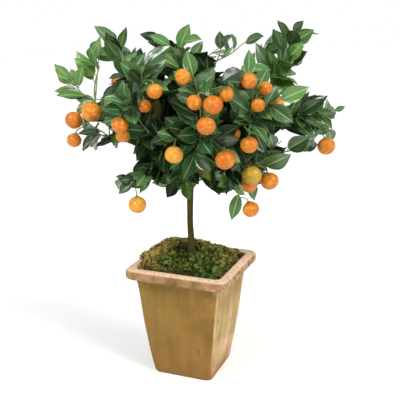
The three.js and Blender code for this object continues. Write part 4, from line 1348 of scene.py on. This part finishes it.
# Places along and across a blade: fine for the leaves of the CAD solids, coarser for the inner ones
FINE_GRID = (
    np.array([0, 0.05, 0.1, 0.15, 0.22, 0.31, 0.41, 0.51, 0.61, 0.7, 0.79, 0.87, 0.94, 0.98, 1]),
    np.array([-1, -0.74, -0.42, -0.1, 0, 0.1, 0.42, 0.74, 1]),
)
INNER_GRID = (
    np.array([0, 0.08, 0.14, 0.24, 0.4, 0.58, 0.76, 0.91, 1]),
    np.array([-1, -0.55, 0, 0.55, 1]),
)
PETIOLE_SHARE = 0.1
PETIOLE_HALF = 0.75
TIP_HALF = 0.12
BLADE_THICK = 0.32
RIB_RISE = 0.45
RIB_SINK = 0.3
RIB_HALF = 0.12
EDGE_WAVE = 0.9
# Painted shade on the leaves by their depth in the crown: the share of its reach within which leaves are
# darkest, beyond which they get full painted light, the least painted light of a CAD leaf, and the
# painted light below which a leaf takes the dull shaded finish
DARK_WITHIN = 0.36
BRIGHT_BEYOND = 0.93
LEAST_LIGHT = 0.55
DULL_BELOW = 0.5
YELLOW_CHANCE = 0.012
YELLOWED = 0.5
FIRST_TWIG_RADII = [1.7, 1.0]
LATER_TWIG_RADII = [1.25, 0.85]
SHOOT_RADII = [1.1, 0.7]
SHORTEST_TWIG = 6
PAST_LAST_LEAF = 1.5

# The finishes of a spray, in the order of its materials
GLOSSY_LEAF, GREEN_TWIG, DRY_CALYX, DULL_LEAF = range(4)


def blade_half(share, half):
    """The blade's half width along it: a stalk, then an oval that is widest before its middle."""
    reach = np.clip((share - PETIOLE_SHARE) / (1 - PETIOLE_SHARE), 0, 1)
    oval = half * np.sin(math.pi * reach ** 0.86) ** (0.72 + 0.4 * reach)
    return np.maximum(oval, np.where(share < 0.5, PETIOLE_HALF, TIP_HALF))


def add_leaf(build, leaf, rng, grid, young, yellow, light):
    along_grid, across_grid = grid
    shares = along_grid[:, None] + 0 * across_grid
    across = across_grid * (blade_half(along_grid, leaf["half"]) / leaf["half"])[:, None]
    edge = np.abs(across_grid) ** 2 * np.clip((shares - 0.15) * 4, 0, 1)
    edge = edge * np.clip((1 - shares) * 5, 0, 1)
    phase, waves = rng.uniform(0, 2 * math.pi), rng.uniform(1.2, 2.3)
    side = np.sign(across_grid) * rng.uniform(0.6, 1.0)
    wave = EDGE_WAVE * edge * np.sin(2 * math.pi * waves * shares + phase + side)
    fold = 1.15 - 0.45 * shares
    rib = np.exp(-(across_grid / RIB_HALF) ** 2) * np.clip(shares * 6, 0, 1)
    height = wave - RIB_SINK * rib
    thick = BLADE_THICK + RIB_RISE * rib + 0.6 * np.clip(1 - shares / PETIOLE_SHARE, 0, 1)
    top = blade_points(leaf, shares, across, height, fold)
    under = blade_points(leaf, shares, across, height - thick, fold)
    rows, columns = shares.shape
    quads = band_quads(rows, columns, closed=False)
    size = rows * columns
    index = np.arange(size).reshape(rows, columns)
    edges = np.concatenate([index[:, 0], index[-1, 1:], index[-2::-1, -1], index[0, -2:0:-1]])
    after = np.roll(edges, -1)
    rim = np.stack([edges, after, after + size, edges + size], axis=-1)
    # The shade mark: a random tone times the painted light of the leaf's place
    shade = np.full(shares.shape, rng.uniform() * light)
    spot = np.stack([np.broadcast_to(across_grid, shares.shape), shares, shade], axis=-1)
    spot = np.concatenate([spot.reshape(-1, 3)] * 2)
    kind = np.zeros((2 * size, 3))
    kind[size:, 0] = 1
    kind[:, 1] = np.clip(young + rng.uniform(-0.2, 0.2), 0, 1) if young else rng.uniform(0, 0.12)
    kind[:, 2] = yellow
    # Leaves with little painted light take the dull shaded copy of the leaf finish, as painted shade
    finish = GLOSSY_LEAF if light > DULL_BELOW else DULL_LEAF
    build.add(np.concatenate([top.reshape(-1, 3), under.reshape(-1, 3)]),
              np.concatenate([quads[:, ::-1], quads + size, rim]), finish=finish, leaf_spot=spot,
              leaf_kind=kind)


CALYX_LOBES = 5
CALYX_SIDES = 20
CALYX_RINGS = [(0.0, 0.25), (0.5, 0.25), (1.0, 0.22), (1.0, 0.6), (0.62, 1.25), (0.3, 1.9)]


def fruit_surface(fruit, away, turn_vectors):
    """The peel's surface at angles away from the calyx, in the directions given by turn_vectors."""
    radius, axis = fruit["radius"], fruit["axis"]
    dip = 0.05 * np.exp(-(away / 0.3) ** 2)
    height = radius * (FRUIT_FLATNESS * np.cos(away) - dip)
    return fruit["centre"] + height[..., None] * axis + (radius * np.sin(away))[..., None] * turn_vectors


def add_calyx(build, fruit):
    across = unit(cross(fruit["axis"], np.array([0.3, 0.9, 0.1])))
    over = cross(fruit["axis"], across)
    turns = np.arange(CALYX_SIDES) * 2 * math.pi / CALYX_SIDES
    ways = np.cos(turns)[:, None] * across + np.sin(turns)[:, None] * over
    rings = []
    for share, lift in CALYX_RINGS:
        lobes = 1 + 0.3 * share * np.cos(CALYX_LOBES * turns)
        away = share * lobes * CALYX_RADIUS / fruit["radius"]
        rings.append(fruit_surface(fruit, away, ways) + lift * fruit["axis"])
    points = np.vstack([*rings, rings[-1].mean(axis=0) + 0.2 * fruit["axis"]])
    pole = len(points) - 1
    around = np.arange(CALYX_SIDES)
    last = (len(rings) - 1) * CALYX_SIDES
    fan = np.stack([last + around, last + np.roll(around, -1), np.full(CALYX_SIDES, pole)], axis=-1)
    build.add(points, band_quads(len(rings), CALYX_SIDES), fan, finish=DRY_CALYX)


def add_stalk(build, fruit):
    twig_point, bend, _ = fruit["stalk"]
    foot = fruit_surface(fruit, np.zeros(1), np.zeros((1, 3)))[0] + 0.6 * fruit["axis"]
    path = smooth_path([twig_point, bend + 0.5 * STALK_RISE * fruit["axis"], foot], 2.5, 4)
    radii = np.interp(np.linspace(0, 1, len(path)), [0, 0.6, 0.9, 1], [0.85, 0.95, 1.3, 1.8])
    points, quads, tris = tube(path, radii, 8)
    build.add(points, quads, tris, finish=GREEN_TWIG)


def add_twig(build, path, radii, rng):
    """A twig with a slight swelling every 9 mm along it."""
    points = smooth_path(path, 3) if len(path) > 2 else np.linspace(path[0], path[1], 14)
    bow = np.sin(np.linspace(0, math.pi, len(points)))[:, None] * rng.normal(0, 0.6, 3)
    reach = np.linspace(0, length_of(path), len(points))
    swell = 1 + 0.22 * np.exp(-(((reach + 3) % 9 - 4.5) / 1.4) ** 2)
    points, quads, tris = tube(points + bow, taper(points, radii) * swell, 8)
    build.add(points, quads, tris, finish=GREEN_TWIG)


def to_last_leaf(path, leaves):
    """A straight side twig, cut where its last leaf grows; nothing where it bears none."""
    along = unit(path[1] - path[0])
    reaches = [0.0]
    for leaf in leaves:
        away = leaf["root"] - path[0]
        if np.linalg.norm(away - along * (away @ along)) < 0.5:
            reaches.append(away @ along)
    reach = min(max(reaches) + PAST_LAST_LEAF, np.linalg.norm(path[1] - path[0]))
    return [path[0], path[0] + along * reach] if reach > SHORTEST_TWIG else None


def light_at(root):
    """How much painted light a leaf gets for its place: 1 at the crown's outside, and painted shade deep
    inside.
    """
    depth = np.linalg.norm((root - CROWN_MIDDLE) / CROWN_REACH)
    return min(max((depth - DARK_WITHIN) / (BRIGHT_BEYOND - DARK_WITHIN), 0.0), 1.0)


def make_sprays(sprays, fruits, materials):
    for i, (name, spray) in enumerate(sprays.items()):
        rng = np.random.RandomState(SPRAY_LOOK_SEED + i)
        build = Build("leaf_spot", "leaf_kind")
        hanging = name in HANGING
        young = YOUNG.get(name, 0)
        for k, path in enumerate(spray["twigs"]):
            if k >= len(SPRAYS[name][0]):
                path = to_last_leaf(path, spray["leaves"] + spray["inner"])
            if path:
                add_twig(build, path, LATER_TWIG_RADII if k else FIRST_TWIG_RADII, rng)
        for fruit in fruits:
            if fruit["spray"] == name:
                add_stalk(build, fruit)
                add_calyx(build, fruit)
        for path in spray["shoots"]:
            path = to_last_leaf(path, spray["inner"])
            if path:
                add_twig(build, path, SHOOT_RADII, rng)
        for k, leaf in enumerate(spray["leaves"]):
            # Painted light of each CAD leaf, never below LEAST_LIGHT; the sprout's first leaf gets full
            # painted light and its later ones full painted shade
            light = max(light_at(leaf["root"]), 1.0 if hanging else LEAST_LIGHT)
            if hanging and k > 0:
                add_leaf(build, leaf, rng, FINE_GRID, 0, 0.0, 0.0)
            else:
                add_leaf(build, leaf, rng, FINE_GRID, young, 0.0, light)
        for leaf in spray["inner"]:
            yellow = YELLOWED if rng.uniform() < YELLOW_CHANCE else 0.0
            share = 0.9 if name in FILL_OUTER else 0.3
            add_leaf(build, leaf, rng, INNER_GRID, young * share, yellow, light_at(leaf["root"]))
        build.points = [tree_to_world(points) for points in build.points]
        take_part(build.piece(f"foliage_{name}", *materials), "leaf", f"spray_{name}")


# Fruit

def ball_mesh(divisions):
    ball = bmesh.new()
    bmesh.ops.create_icosphere(ball, subdivisions=divisions, radius=1)
    points = np.array([vertex.co for vertex in ball.verts])
    tris = np.array([[vertex.index for vertex in face.verts] for face in ball.faces])
    ball.free()
    return points / np.linalg.norm(points, axis=1)[:, None], tris


def make_fruits(fruits):
    ball, tris = ball_mesh(4)
    materials = {ripeness: peel_finish(ripeness) for ripeness in PEEL_COLOURS}
    for i, fruit in enumerate(fruits):
        rng = np.random.RandomState(FRUIT_LOOK_SEED + i)
        axis = fruit["axis"]
        across = unit(cross(axis, np.array([0.2, 0.3, 0.9])))
        over = cross(axis, across)
        away = np.arccos(np.clip(ball[:, 2], -1, 1))
        turn = np.arctan2(ball[:, 1], ball[:, 0])
        ways = np.cos(turn)[:, None] * across + np.sin(turn)[:, None] * over
        points = fruit_surface(fruit, away, ways)
        outward = points - fruit["centre"]
        outward /= np.linalg.norm(outward, axis=1)[:, None]
        seats = rng.randint(8, 12)
        ridges = 0.012 * np.cos(seats * turn + rng.uniform(0, 6)) * np.exp(-((away - 0.45) / 0.28) ** 2)
        navel = 0.035 * np.exp(-((math.pi - away) / 0.13) ** 2)
        lumps = 0
        for k in (1, 2, 3):
            phases = ball @ rng.normal(0, 1.6 * k, 3) + rng.uniform(0, 6)
            lumps = lumps + 0.009 * math.sqrt(1 / k) * np.cos(phases)
        pores = 0.0045 * (rng.uniform(size=len(ball)) < 0.3) * np.clip((away - 0.2) * 5, 0, 1)
        relief = ridges - navel + np.minimum(lumps, 0.004) * np.clip(away * 2, 0, 1) - pores
        points = points + outward * (fruit["radius"] * relief)[:, None]
        build = Build("peel_spot")
        spot = np.stack([away / math.pi, np.full(len(ball), rng.uniform()), 0 * away], axis=-1)
        build.add(tree_to_world(points), tris=tris, peel_spot=spot)
        piece = build.piece(f"peel_{i + 1:02d}", materials[fruit["ripeness"]])
        take_part(piece, f"peel_{fruit['ripeness']}", f"fruit_{i + 1:02d}")


# Wood

# A shrunk share of each rod's radius makes up for what the flat sides of its solid leave out; the trunk
# alone has more than four sides
VOXEL = 0.0009
TRUNK_SHARE = 0.97
THIN_SHARE = 0.86
BARK_STREAK = 0.00022
BARK_LUMP = 0.0003


def make_wood(rods):
    """The rods, joined into one smooth surface, with fine streaks along the bark."""
    build = Build()
    for path, radii, sides in rods:
        radii = radii if len(radii) == len(path) else taper(path, radii)
        path, radii = smooth_rod(path, radii, 3)
        is_trunk = sides > 4
        share = TRUNK_SHARE if is_trunk else THIN_SHARE
        points, quads, tris = tube(path, radii * share, 24 if is_trunk else 12)
        build.add(tree_to_world(points), quads, tris)
    rough = build.piece("wood_rods")
    remesh = rough.modifiers.new("join", "REMESH")
    remesh.mode = "VOXEL"
    remesh.voxel_size = VOXEL
    smooth = rough.modifiers.new("smooth", "SMOOTH")
    smooth.factor = 0.5
    smooth.iterations = 3
    mesh = settled(rough, "bark", bark_finish())
    rows = [(vertex.co.copy(), vertex.normal.copy()) for vertex in mesh.vertices]
    for vertex, (place, normal) in zip(mesh.vertices, rows):
        streak = noise.noise(Vector((place.x * 420, place.y * 420, place.z * 60)))
        vertex.co = place + normal * (BARK_STREAK * streak + BARK_LUMP * noise.noise(place * 90))
    take_part(link("bark", mesh), "bark", "trunk")


# Pot, moss and soil, in millimetres in the row frame

def square_ring(half, corner, z, side_steps, corner_steps):
    """A square ring with round corners, its straight sides split into steps."""
    straight = half - corner
    side = [(half, straight * (2 * step / side_steps - 1)) for step in range(1, side_steps)]
    for step in range(corner_steps + 1):
        turn = step / corner_steps * math.pi / 2
        side.append((straight + corner * math.cos(turn), straight + corner * math.sin(turn)))
    side = np.array(side)
    turns = [np.array([[c, s], [-s, c]]) for c, s in [(1, 0), (0, 1), (-1, 0), (0, -1)]]
    ring = np.concatenate([side @ turn for turn in turns])
    return np.column_stack([ring, np.full(len(ring), z)])


JITTER_SHIFTS = (0, 41.3, 83.9)


def jitter(points, scale, depth, seed):
    """Smooth noise along X, Y and Z, at most about depth, for points in millimetres.

    It is drawn from noise.noise, which is the same in every run; noise.noise_vector is not."""
    shifts = [Vector((seed * 7.3 + shift, seed * 3.1 - shift, seed * 5.7)) for shift in JITTER_SHIFTS]
    places = [Vector(point) * scale for point in points]
    return depth * np.array([[noise.noise(place + shift) for shift in shifts] for place in places])


POT_PROFILE = [
    [BASE_HALF - 2, 12, 0], [BASE_HALF, 13, 3.5],
    [(BASE_HALF + BODY_TOP_HALF) / 2 + 0.4, 5, BODY_TOP / 2], [BODY_TOP_HALF, 3.5, BODY_TOP - 2.5],
    [BODY_TOP_HALF + 3, 5, BODY_TOP], [RIM_HALF - 4, 15, BODY_TOP + 0.8],
    [RIM_HALF - 0.6, 17, BODY_TOP + 4], [RIM_HALF, 17, BODY_TOP + 8],
    [RIM_HALF, 17, POT_HEIGHT - 6], [RIM_HALF - 1.4, 17, POT_HEIGHT - 1.6],
    [RIM_HALF - 5, 15, POT_HEIGHT], [MOUTH_HALF + 3, 12, POT_HEIGHT],
    [MOUTH_HALF - 0.6, 11, POT_HEIGHT - 3], [INNER_TOP_HALF, 9, INNER_TOP_Z],
    [INNER_BASE_HALF, 8, FLOOR],
]


def make_pot():
    rows = smooth_path(POT_PROFILE, 2.2, 2)
    rows[:, 2] = np.clip(rows[:, 2], 0, POT_HEIGHT)
    rows[0], rows[-1] = POT_PROFILE[0], POT_PROFILE[-1]
    rings = [square_ring(half, corner, z, 36, 8) for half, corner, z in rows]
    count = len(rings[0])
    points = np.concatenate(rings)
    flat = np.clip(points[:, 2:] / 12, 0, 1)
    wobble = jitter(points, 0.011, 0.8, 1) + jitter(points, 0.05, 0.35, 2) + jitter(points, 0.22, 0.12, 3)
    wobble[:, 2] *= 0.5
    points = points + wobble * flat
    points[:, 2] = np.minimum(points[:, 2], POT_HEIGHT + 0.3)
    mesh = bpy.data.meshes.new("pot_rough")
    faces = band_quads(len(rings), count).tolist()
    faces.append(list(range(count))[::-1])
    faces.append(list(range((len(rings) - 1) * count, len(rings) * count)))
    mesh.from_pydata((points * MM).tolist(), [], faces)
    rough = link("pot_rough", mesh)
    drains = Build()
    for x, y in [(1, 1), (-1, 1), (-1, -1), (1, -1)]:
        path = [vec([x * DRAIN_OFFSET, y * DRAIN_OFFSET, z]) for z in (-FLOOR, 0, FLOOR, 2 * FLOOR)]
        solid = tube(path, np.full(4, DRAIN_RADIUS), 32)
        drains.add(solid[0] * MM, solid[1], solid[2])
    cutter = drains.piece("drain_cutter")
    cut = rough.modifiers.new("drains", "BOOLEAN")
    cut.operation = "DIFFERENCE"
    cut.object = cutter
    cut.solver = "EXACT"
    mesh = settled(rough, "earthenware_pot", pot_finish())
    bpy.data.objects.remove(cutter)
    mesh.set_sharp_from_angle(angle=math.radians(50))
    take_part(link("earthenware_pot", mesh), "pot", "pot")


def heap_side(points):
    """How far points lie towards the heaped corner."""
    side = (HEAP_BACK * points[:, 1] - HEAP_LEFT * points[:, 0]) / MOSS_HALF
    return np.minimum(side * np.where(side > 0, HEAP_STEEPER, 1), MOSS_HEAP_END)


def spilled(ring):
    """The heaped moss leans out over the rim."""
    side = np.clip((heap_side(ring) - SPILL_FROM) / (MOSS_HEAP_END - SPILL_FROM), 0, 1)
    over = MOSS_SPILL * side * np.clip((ring[:, 2] - POT_HEIGHT) / SPILL_RISE, 0, 1)
    edge = np.clip(np.abs(ring[:, :2]).max(axis=1) / MOSS_HALF, 0, 1) ** 6
    outward = ring[:, :2] / np.linalg.norm(ring[:, :2], axis=1)[:, None]
    spread = ring.copy()
    spread[:, :2] += outward * (over * edge)[:, None]
    spread[:, 2] -= SPILL_DROOP * over * edge
    return spread


def moss_relief(points):
    """The moss bulges in low cushions and is heaped up high at one corner."""
    x, y = points[:, 0], points[:, 1]
    side = heap_side(points)
    lift = side * np.where(side > 0, MOSS_HEAP, MOSS_EDGE_LIFT)
    edge = np.minimum(1, np.hypot(x, y) / MOSS_HALF)
    lumps = np.sin(0.115 * x + 1) * np.cos(0.14 * y) + 0.6 * np.sin(0.27 * x - 0.21 * y)
    return lift * edge ** 3 + MOSS_LUMP * lumps


def in_tree_frame(points):
    """How far across and deep in the tree's frame points of the row frame lie."""
    x, y = points[:, 0], points[:, 1]
    return (x * math.cos(TREE_TURN) + y * math.sin(TREE_TURN),
            y * math.cos(TREE_TURN) - x * math.sin(TREE_TURN))


def by_trunk(points, across, deep, wide, long):
    """A soft spot of the moss near the trunk's foot, at a place in the tree's frame: 1 at its middle."""
    aside, behind = in_tree_frame(points)
    return np.exp(-((aside - across) / wide) ** 2 - ((behind - deep) / long) ** 2)


def at_edge(points):
    """How near the moss is to the rim's inner edge, from 0 to 1."""
    return np.clip((np.abs(points[:, :2]).max(axis=1) / MOSS_HALF - 0.86) / 0.12, 0, 1)


def soil_edge_half():
    share = (SOIL_EDGE_Z - INNER_TOP_Z) / (POT_HEIGHT - 3 - INNER_TOP_Z)
    return INNER_TOP_HALF + share * (MOUTH_HALF - 1 - INNER_TOP_HALF) - FIT_GAP


# The moss's short shoots and its leafy heads, each a star of small leaves
MOSS_SHOOTS = 9000
MOSS_SHOOT_LENGTH = [2.4, 5.6]
MOSS_SHOOT_HALF = 0.5
STAR_COUNT = 4300
STAR_POINTS = 9
STAR_LENGTH = [3.0, 6.0]
STAR_HALF = 0.85
STAR_LIFT = [0.4, 4.2]
MAT_FOOT = 9

# Spots beside the trunk, a hollow painted in shade and a fresh green patch painted lighter: a place
# across and deep, and how wide and how long each is
SHADED_HOLLOW_SPOT = [-22, 4, 15, 30]
FRESH_SPOT = [22, 14, 14, 24]


def cushions(points):
    """Little round cushions, as heights over the relief."""
    heights = []
    for x, y, _ in points:
        near = noise.voronoi(Vector((x / 13, y / 13, 0.5)))[0][0]
        heights.append(4.6 * (0.5 - near) + 1.4 * noise.noise(Vector((x / 3.2, y / 3.2, 2))))
    return np.array(heights)


def make_moss():
    """A closed mat between the soil and the air, with shoots all over it."""
    sizes = (24, 6)
    under = [square_ring(soil_edge_half(), 9, SOIL_EDGE_Z, *sizes)]
    under += [square_ring(*row, *sizes) for row in SOIL_TOP + [MOSS_HOLE]]
    under = [ring + FIT_GAP * UP for ring in under]
    rows = smooth_path([[MOSS_HALF, 11, SOIL_EDGE_Z + MAT_FOOT], *MOSS_TOP, *MOSS_COLLAR], 1.6)
    above = [square_ring(*row, *sizes) for row in rows]
    rise = np.clip((rows[:, 2] - SOIL_EDGE_Z - MAT_FOOT) / 6, 0, 1)
    above = [spilled(ring + (share * (moss_relief(ring) + cushions(ring)))[:, None] * UP)
             for ring, share in zip(above, rise)]
    rings = [*under[::-1], *above]
    count = len(rings[0])
    mat = np.concatenate(rings)
    quads = band_quads(len(rings), count)
    around = np.arange(count)
    after = np.roll(around, -1)
    last = (len(rings) - 1) * count
    back = np.stack([last + around, last + after, after, around], axis=-1)
    rng = np.random.RandomState(MOSS_SEED)
    # The mat under the shoots gets a low height mark, which paints it dark as shade beneath them
    mark = np.column_stack([np.full(len(mat), 0.3), np.full(len(mat), 0.15), dryness(mat)])
    material = moss_finish()
    build = Build("moss_spot")
    build.add(mat * MM, np.concatenate([quads, back]), moss_spot=mark)
    take_part(build.piece("moss_mat", material), "moss", "moss")
    make_moss_shoots(mat, quads[len(under) * count:], material, rng)


def dryness(points):
    """How brown the moss is: towards its left and right corners and its back, and in patches; the extra
    tan towards the left and the back is also painted light on moss that lies in shade.
    """
    side, back = (away / MOSS_HALF for away in in_tree_frame(points))
    patches = np.array([noise.noise(Vector((x / 24, y / 24, 7))) for x, y, _ in points])
    spots = 0.6 * at_edge(points) - 0.5 * by_trunk(points, *FRESH_SPOT)
    spread = np.abs(side) ** 1.5 * np.where(side < 0, 1.1, 0.6)
    return np.clip(spread + 0.4 * back + patches * 1.1 + spots - 0.1, 0, 1)


def spikes(feet, ways, halves, rng):
    """Closed pointed spikes of three sides, from their feet along their ways."""
    across = np.cross(ways, rng.normal(size=ways.shape))
    across /= np.linalg.norm(across, axis=1)[:, None]
    over = np.cross(ways, across)
    over /= np.linalg.norm(over, axis=1)[:, None]
    turns = [k * 2 * math.pi / 3 for k in range(3)]
    rings = [feet + halves * (math.cos(turn) * across + math.sin(turn) * over) for turn in turns]
    points = np.stack([*rings, feet + ways], axis=1).reshape(-1, 3)
    spike = np.array([[0, 1, 3], [1, 2, 3], [2, 0, 3], [0, 2, 1]])
    tris = (np.arange(len(feet)) * 4)[:, None, None] + spike
    return points, tris.reshape(-1, 3)


def make_moss_shoots(mat, quads, material, rng):
    """Short pointed shoots all over the mat, and leafy heads, each a star of small leaves."""
    corners = mat[quads]
    across, along = corners[:, 2] - corners[:, 0], corners[:, 3] - corners[:, 1]
    areas = np.linalg.norm(np.cross(across, along), axis=1)
    count = MOSS_SHOOTS + STAR_COUNT
    chosen = rng.choice(len(quads), count, p=areas / areas.sum())
    u, v = rng.uniform(size=(2, count, 1))
    a, b, c, d = corners[chosen].transpose(1, 0, 2)
    foot = (a * (1 - u) + b * u) * (1 - v) + (d * (1 - u) + c * u) * v
    normals = np.cross(c - a, d - b)
    normals /= np.linalg.norm(normals, axis=1)[:, None]
    ways = normals + rng.normal(0, 0.4, (count, 3)) + 0.3 * UP
    ways /= np.linalg.norm(ways, axis=1)[:, None]
    heaped = np.clip(heap_side(foot), 0, 1)
    # The shade mark: a random tone, with painted light on high cushions, on the heaped corner and at the
    # fresh spot, and painted shade in the hollow by the trunk and along the rim's edge
    shade = 0.02 + 0.75 * rng.uniform(size=count) + 0.17 * cushions(foot) + 0.3 * heaped
    shade = (shade + 0.3 * by_trunk(foot, *FRESH_SPOT)) * (1 - 0.75 * by_trunk(foot, *SHADED_HOLLOW_SPOT))
    shade = np.clip(shade * (1 - 0.6 * at_edge(foot) * (1 - heaped)), 0, 1)
    dry = dryness(foot)
    build = Build("moss_spot")
    shoots, stars = slice(0, MOSS_SHOOTS), slice(MOSS_SHOOTS, count)
    lengths = rng.uniform(*MOSS_SHOOT_LENGTH, (MOSS_SHOOTS, 1))
    halves = MOSS_SHOOT_HALF * rng.uniform(0.7, 1.3, (MOSS_SHOOTS, 1))
    points, tris = spikes(foot[shoots] - 0.3 * normals[shoots], ways[shoots] * lengths, halves, rng)
    # Short shoots, under the heads, at half the shade mark and with low height marks at their feet:
    # painted shade
    mark = np.column_stack([shade[shoots] * 0.5, np.ones(MOSS_SHOOTS), dry[shoots]]).repeat(4, axis=0)
    mark[:, 1] = np.tile([0.1, 0.1, 0.1, 0.9], MOSS_SHOOTS)
    build.add(points * MM, tris=tris, moss_spot=mark)
    lifts = rng.uniform(*STAR_LIFT, (STAR_COUNT, 1))
    heads = np.repeat(foot[stars] + ways[stars] * lifts, STAR_POINTS, axis=0)
    spread = np.repeat(ways[stars], STAR_POINTS, axis=0) * rng.uniform(0.15, 1.0, (len(heads), 1))
    spread = spread + rng.normal(0, 0.6, spread.shape)
    spread /= np.linalg.norm(spread, axis=1)[:, None]
    lengths = rng.uniform(*STAR_LENGTH, (len(heads), 1))
    halves = STAR_HALF * rng.uniform(0.7, 1.2, (len(heads), 1))
    points, tris = spikes(heads, spread * lengths, halves, rng)
    # Lower heads, and each small leaf's foot, get lower height marks and so more painted shade
    mark = np.column_stack([shade[stars], lifts[:, 0], dry[stars]]).repeat(4 * STAR_POINTS, axis=0)
    mark[:, 1] = np.clip(mark[:, 1] / STAR_LIFT[1] + np.tile([0.2, 0.2, 0.2, 0.6], len(heads)), 0, 1)
    build.add(points * MM, tris=tris, moss_spot=mark)
    take_part(build.piece("moss_shoots", material), "moss")


CRUMB_COUNT = 420
CRUMB_SIZE = [0.8, 2.2]


def make_crumbs(material):
    """Loose soil round the trunk's foot and in the groove between moss and pot."""
    ball, tris = ball_mesh(1)
    rng = np.random.RandomState(CRUMB_SEED)
    build = Build()
    for k in range(CRUMB_COUNT):
        size = rng.uniform(*CRUMB_SIZE)
        if k % 3 == 0:
            turn, out = rng.uniform(0, 2 * math.pi), rng.uniform(9, 22)
            middle = vec([out * math.cos(turn), out * math.sin(turn), 237.2 - 0.12 * max(out - 6, 0)])
        else:
            ring = square_ring(soil_edge_half() - rng.uniform(0.5, 4), 9, SOIL_EDGE_Z + 2.5, 24, 6)
            middle = ring[rng.randint(len(ring))]
        lumpy = ball * (1 + rng.uniform(-0.28, 0.28, (len(ball), 1)))
        points = middle + size * lumpy * [1, rng.uniform(0.6, 1), rng.uniform(0.5, 0.8)]
        build.add(points * MM, tris=tris)
    take_part(build.piece("soil_crumbs", material), "soil")


# Stage

STAGE_RADIUS = 9.0
SUN_FROM = (0.78, -0.22, 0.72)
SUN_SPREAD = math.radians(34)
SUN_STRENGTH = 2.5
SUN_COLOUR = (1, 0.985, 0.955)
BOX_SIZE = 0.5
BOX_POWER = 24
BOX_COLOUR = (0.93, 0.97, 1)
BOX_AIM = (0, 0, 0.45)
SKY_COLOUR = (0.98, 0.99, 1, 1)
SKY_STRENGTH = 0.5


def make_stage():
    """A pale floor, and a white backdrop all round that only the camera sees."""
    half = STAGE_RADIUS
    mesh = bpy.data.meshes.new("floor")
    corners = [(-half, -half, 0), (half, -half, 0), (half, half, 0), (-half, half, 0)]
    mesh.from_pydata(corners, [], [(0, 1, 2, 3)])
    mesh.materials.append(stage_finish())
    link("floor", mesh)
    ball, tris = ball_mesh(4)
    mesh = bpy.data.meshes.new("backdrop")
    mesh.from_pydata((ball * STAGE_RADIUS).tolist(), [], tris.tolist())
    mesh.materials.append(backdrop_finish())
    backdrop = link("backdrop", mesh)
    backdrop.visible_diffuse = False
    backdrop.visible_glossy = False
    backdrop.visible_transmission = False
    backdrop.visible_volume_scatter = False
    backdrop.visible_shadow = False


def make_lights():
    """A broad sun from the upper right, a soft box that puts gloss on the leaves, and an even sky."""
    right = Vector((math.cos(CAMERA_AZIMUTH), math.sin(CAMERA_AZIMUTH), 0))
    back = Vector((math.sin(CAMERA_AZIMUTH), -math.cos(CAMERA_AZIMUTH), 0))
    sun = bpy.data.lights.new("sun", "SUN")
    sun.energy = SUN_STRENGTH
    sun.angle = SUN_SPREAD
    sun.color = SUN_COLOUR
    lamp = link("sun", sun)
    lamp.rotation_euler = Vector(SUN_FROM).to_track_quat("Z", "Y").to_euler()
    box = bpy.data.lights.new("soft_box", "AREA")
    box.shape = "DISK"
    box.size = BOX_SIZE
    box.energy = BOX_POWER
    box.color = BOX_COLOUR
    lamp = link("soft_box", box)
    lamp.location = right * -0.9 + back * 1.1 + Vector((0, 0, 1.7))
    lamp.rotation_euler = (lamp.location - Vector(BOX_AIM)).to_track_quat("Z", "Y").to_euler()
    world = bpy.data.worlds.new("studio")
    world.use_nodes = True
    background = world.node_tree.nodes["Background"]
    background.inputs["Color"].default_value = SKY_COLOUR
    background.inputs["Strength"].default_value = SKY_STRENGTH
    bpy.context.scene.world = world


def make_camera():
    a, e = CAMERA_AZIMUTH, CAMERA_ELEVATION
    target = Vector((TARGET_SIDE * math.cos(a), TARGET_SIDE * math.sin(a), TARGET_UP))
    back = Vector((math.sin(a) * math.cos(e), -math.cos(a) * math.cos(e), math.sin(e)))
    camera = link("camera", bpy.data.cameras.new("camera"))
    camera.data.lens = CAMERA_LENS
    camera.data.sensor_width = SENSOR_WIDTH
    camera.location = target + back * CAMERA_DISTANCE
    camera.rotation_euler = back.to_track_quat("Z", "Y").to_euler()
    bpy.context.scene.camera = camera


make_camera()
make_lights()
make_stage()
WOOD_RODS = make_rods()
CROWN, FRUITS_HUNG = grow_crown(WOOD_RODS)
SPRAY_MATERIALS = [leaf_finish("citrus_leaf", 0.6, 0.4), twig_finish(), calyx_finish(),
                   leaf_finish("shaded_leaf", 0.0, 0.12)]
make_sprays(CROWN, FRUITS_HUNG, SPRAY_MATERIALS)
make_fruits(FRUITS_HUNG)
make_wood(WOOD_RODS)
make_pot()
make_moss()
SOIL_MATERIAL = soil_finish()
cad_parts["soil"].data.materials.clear()
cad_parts["soil"].data.materials.append(SOIL_MATERIAL)
make_crumbs(SOIL_MATERIAL)
bpy.context.scene.view_settings.view_transform = "Standard"
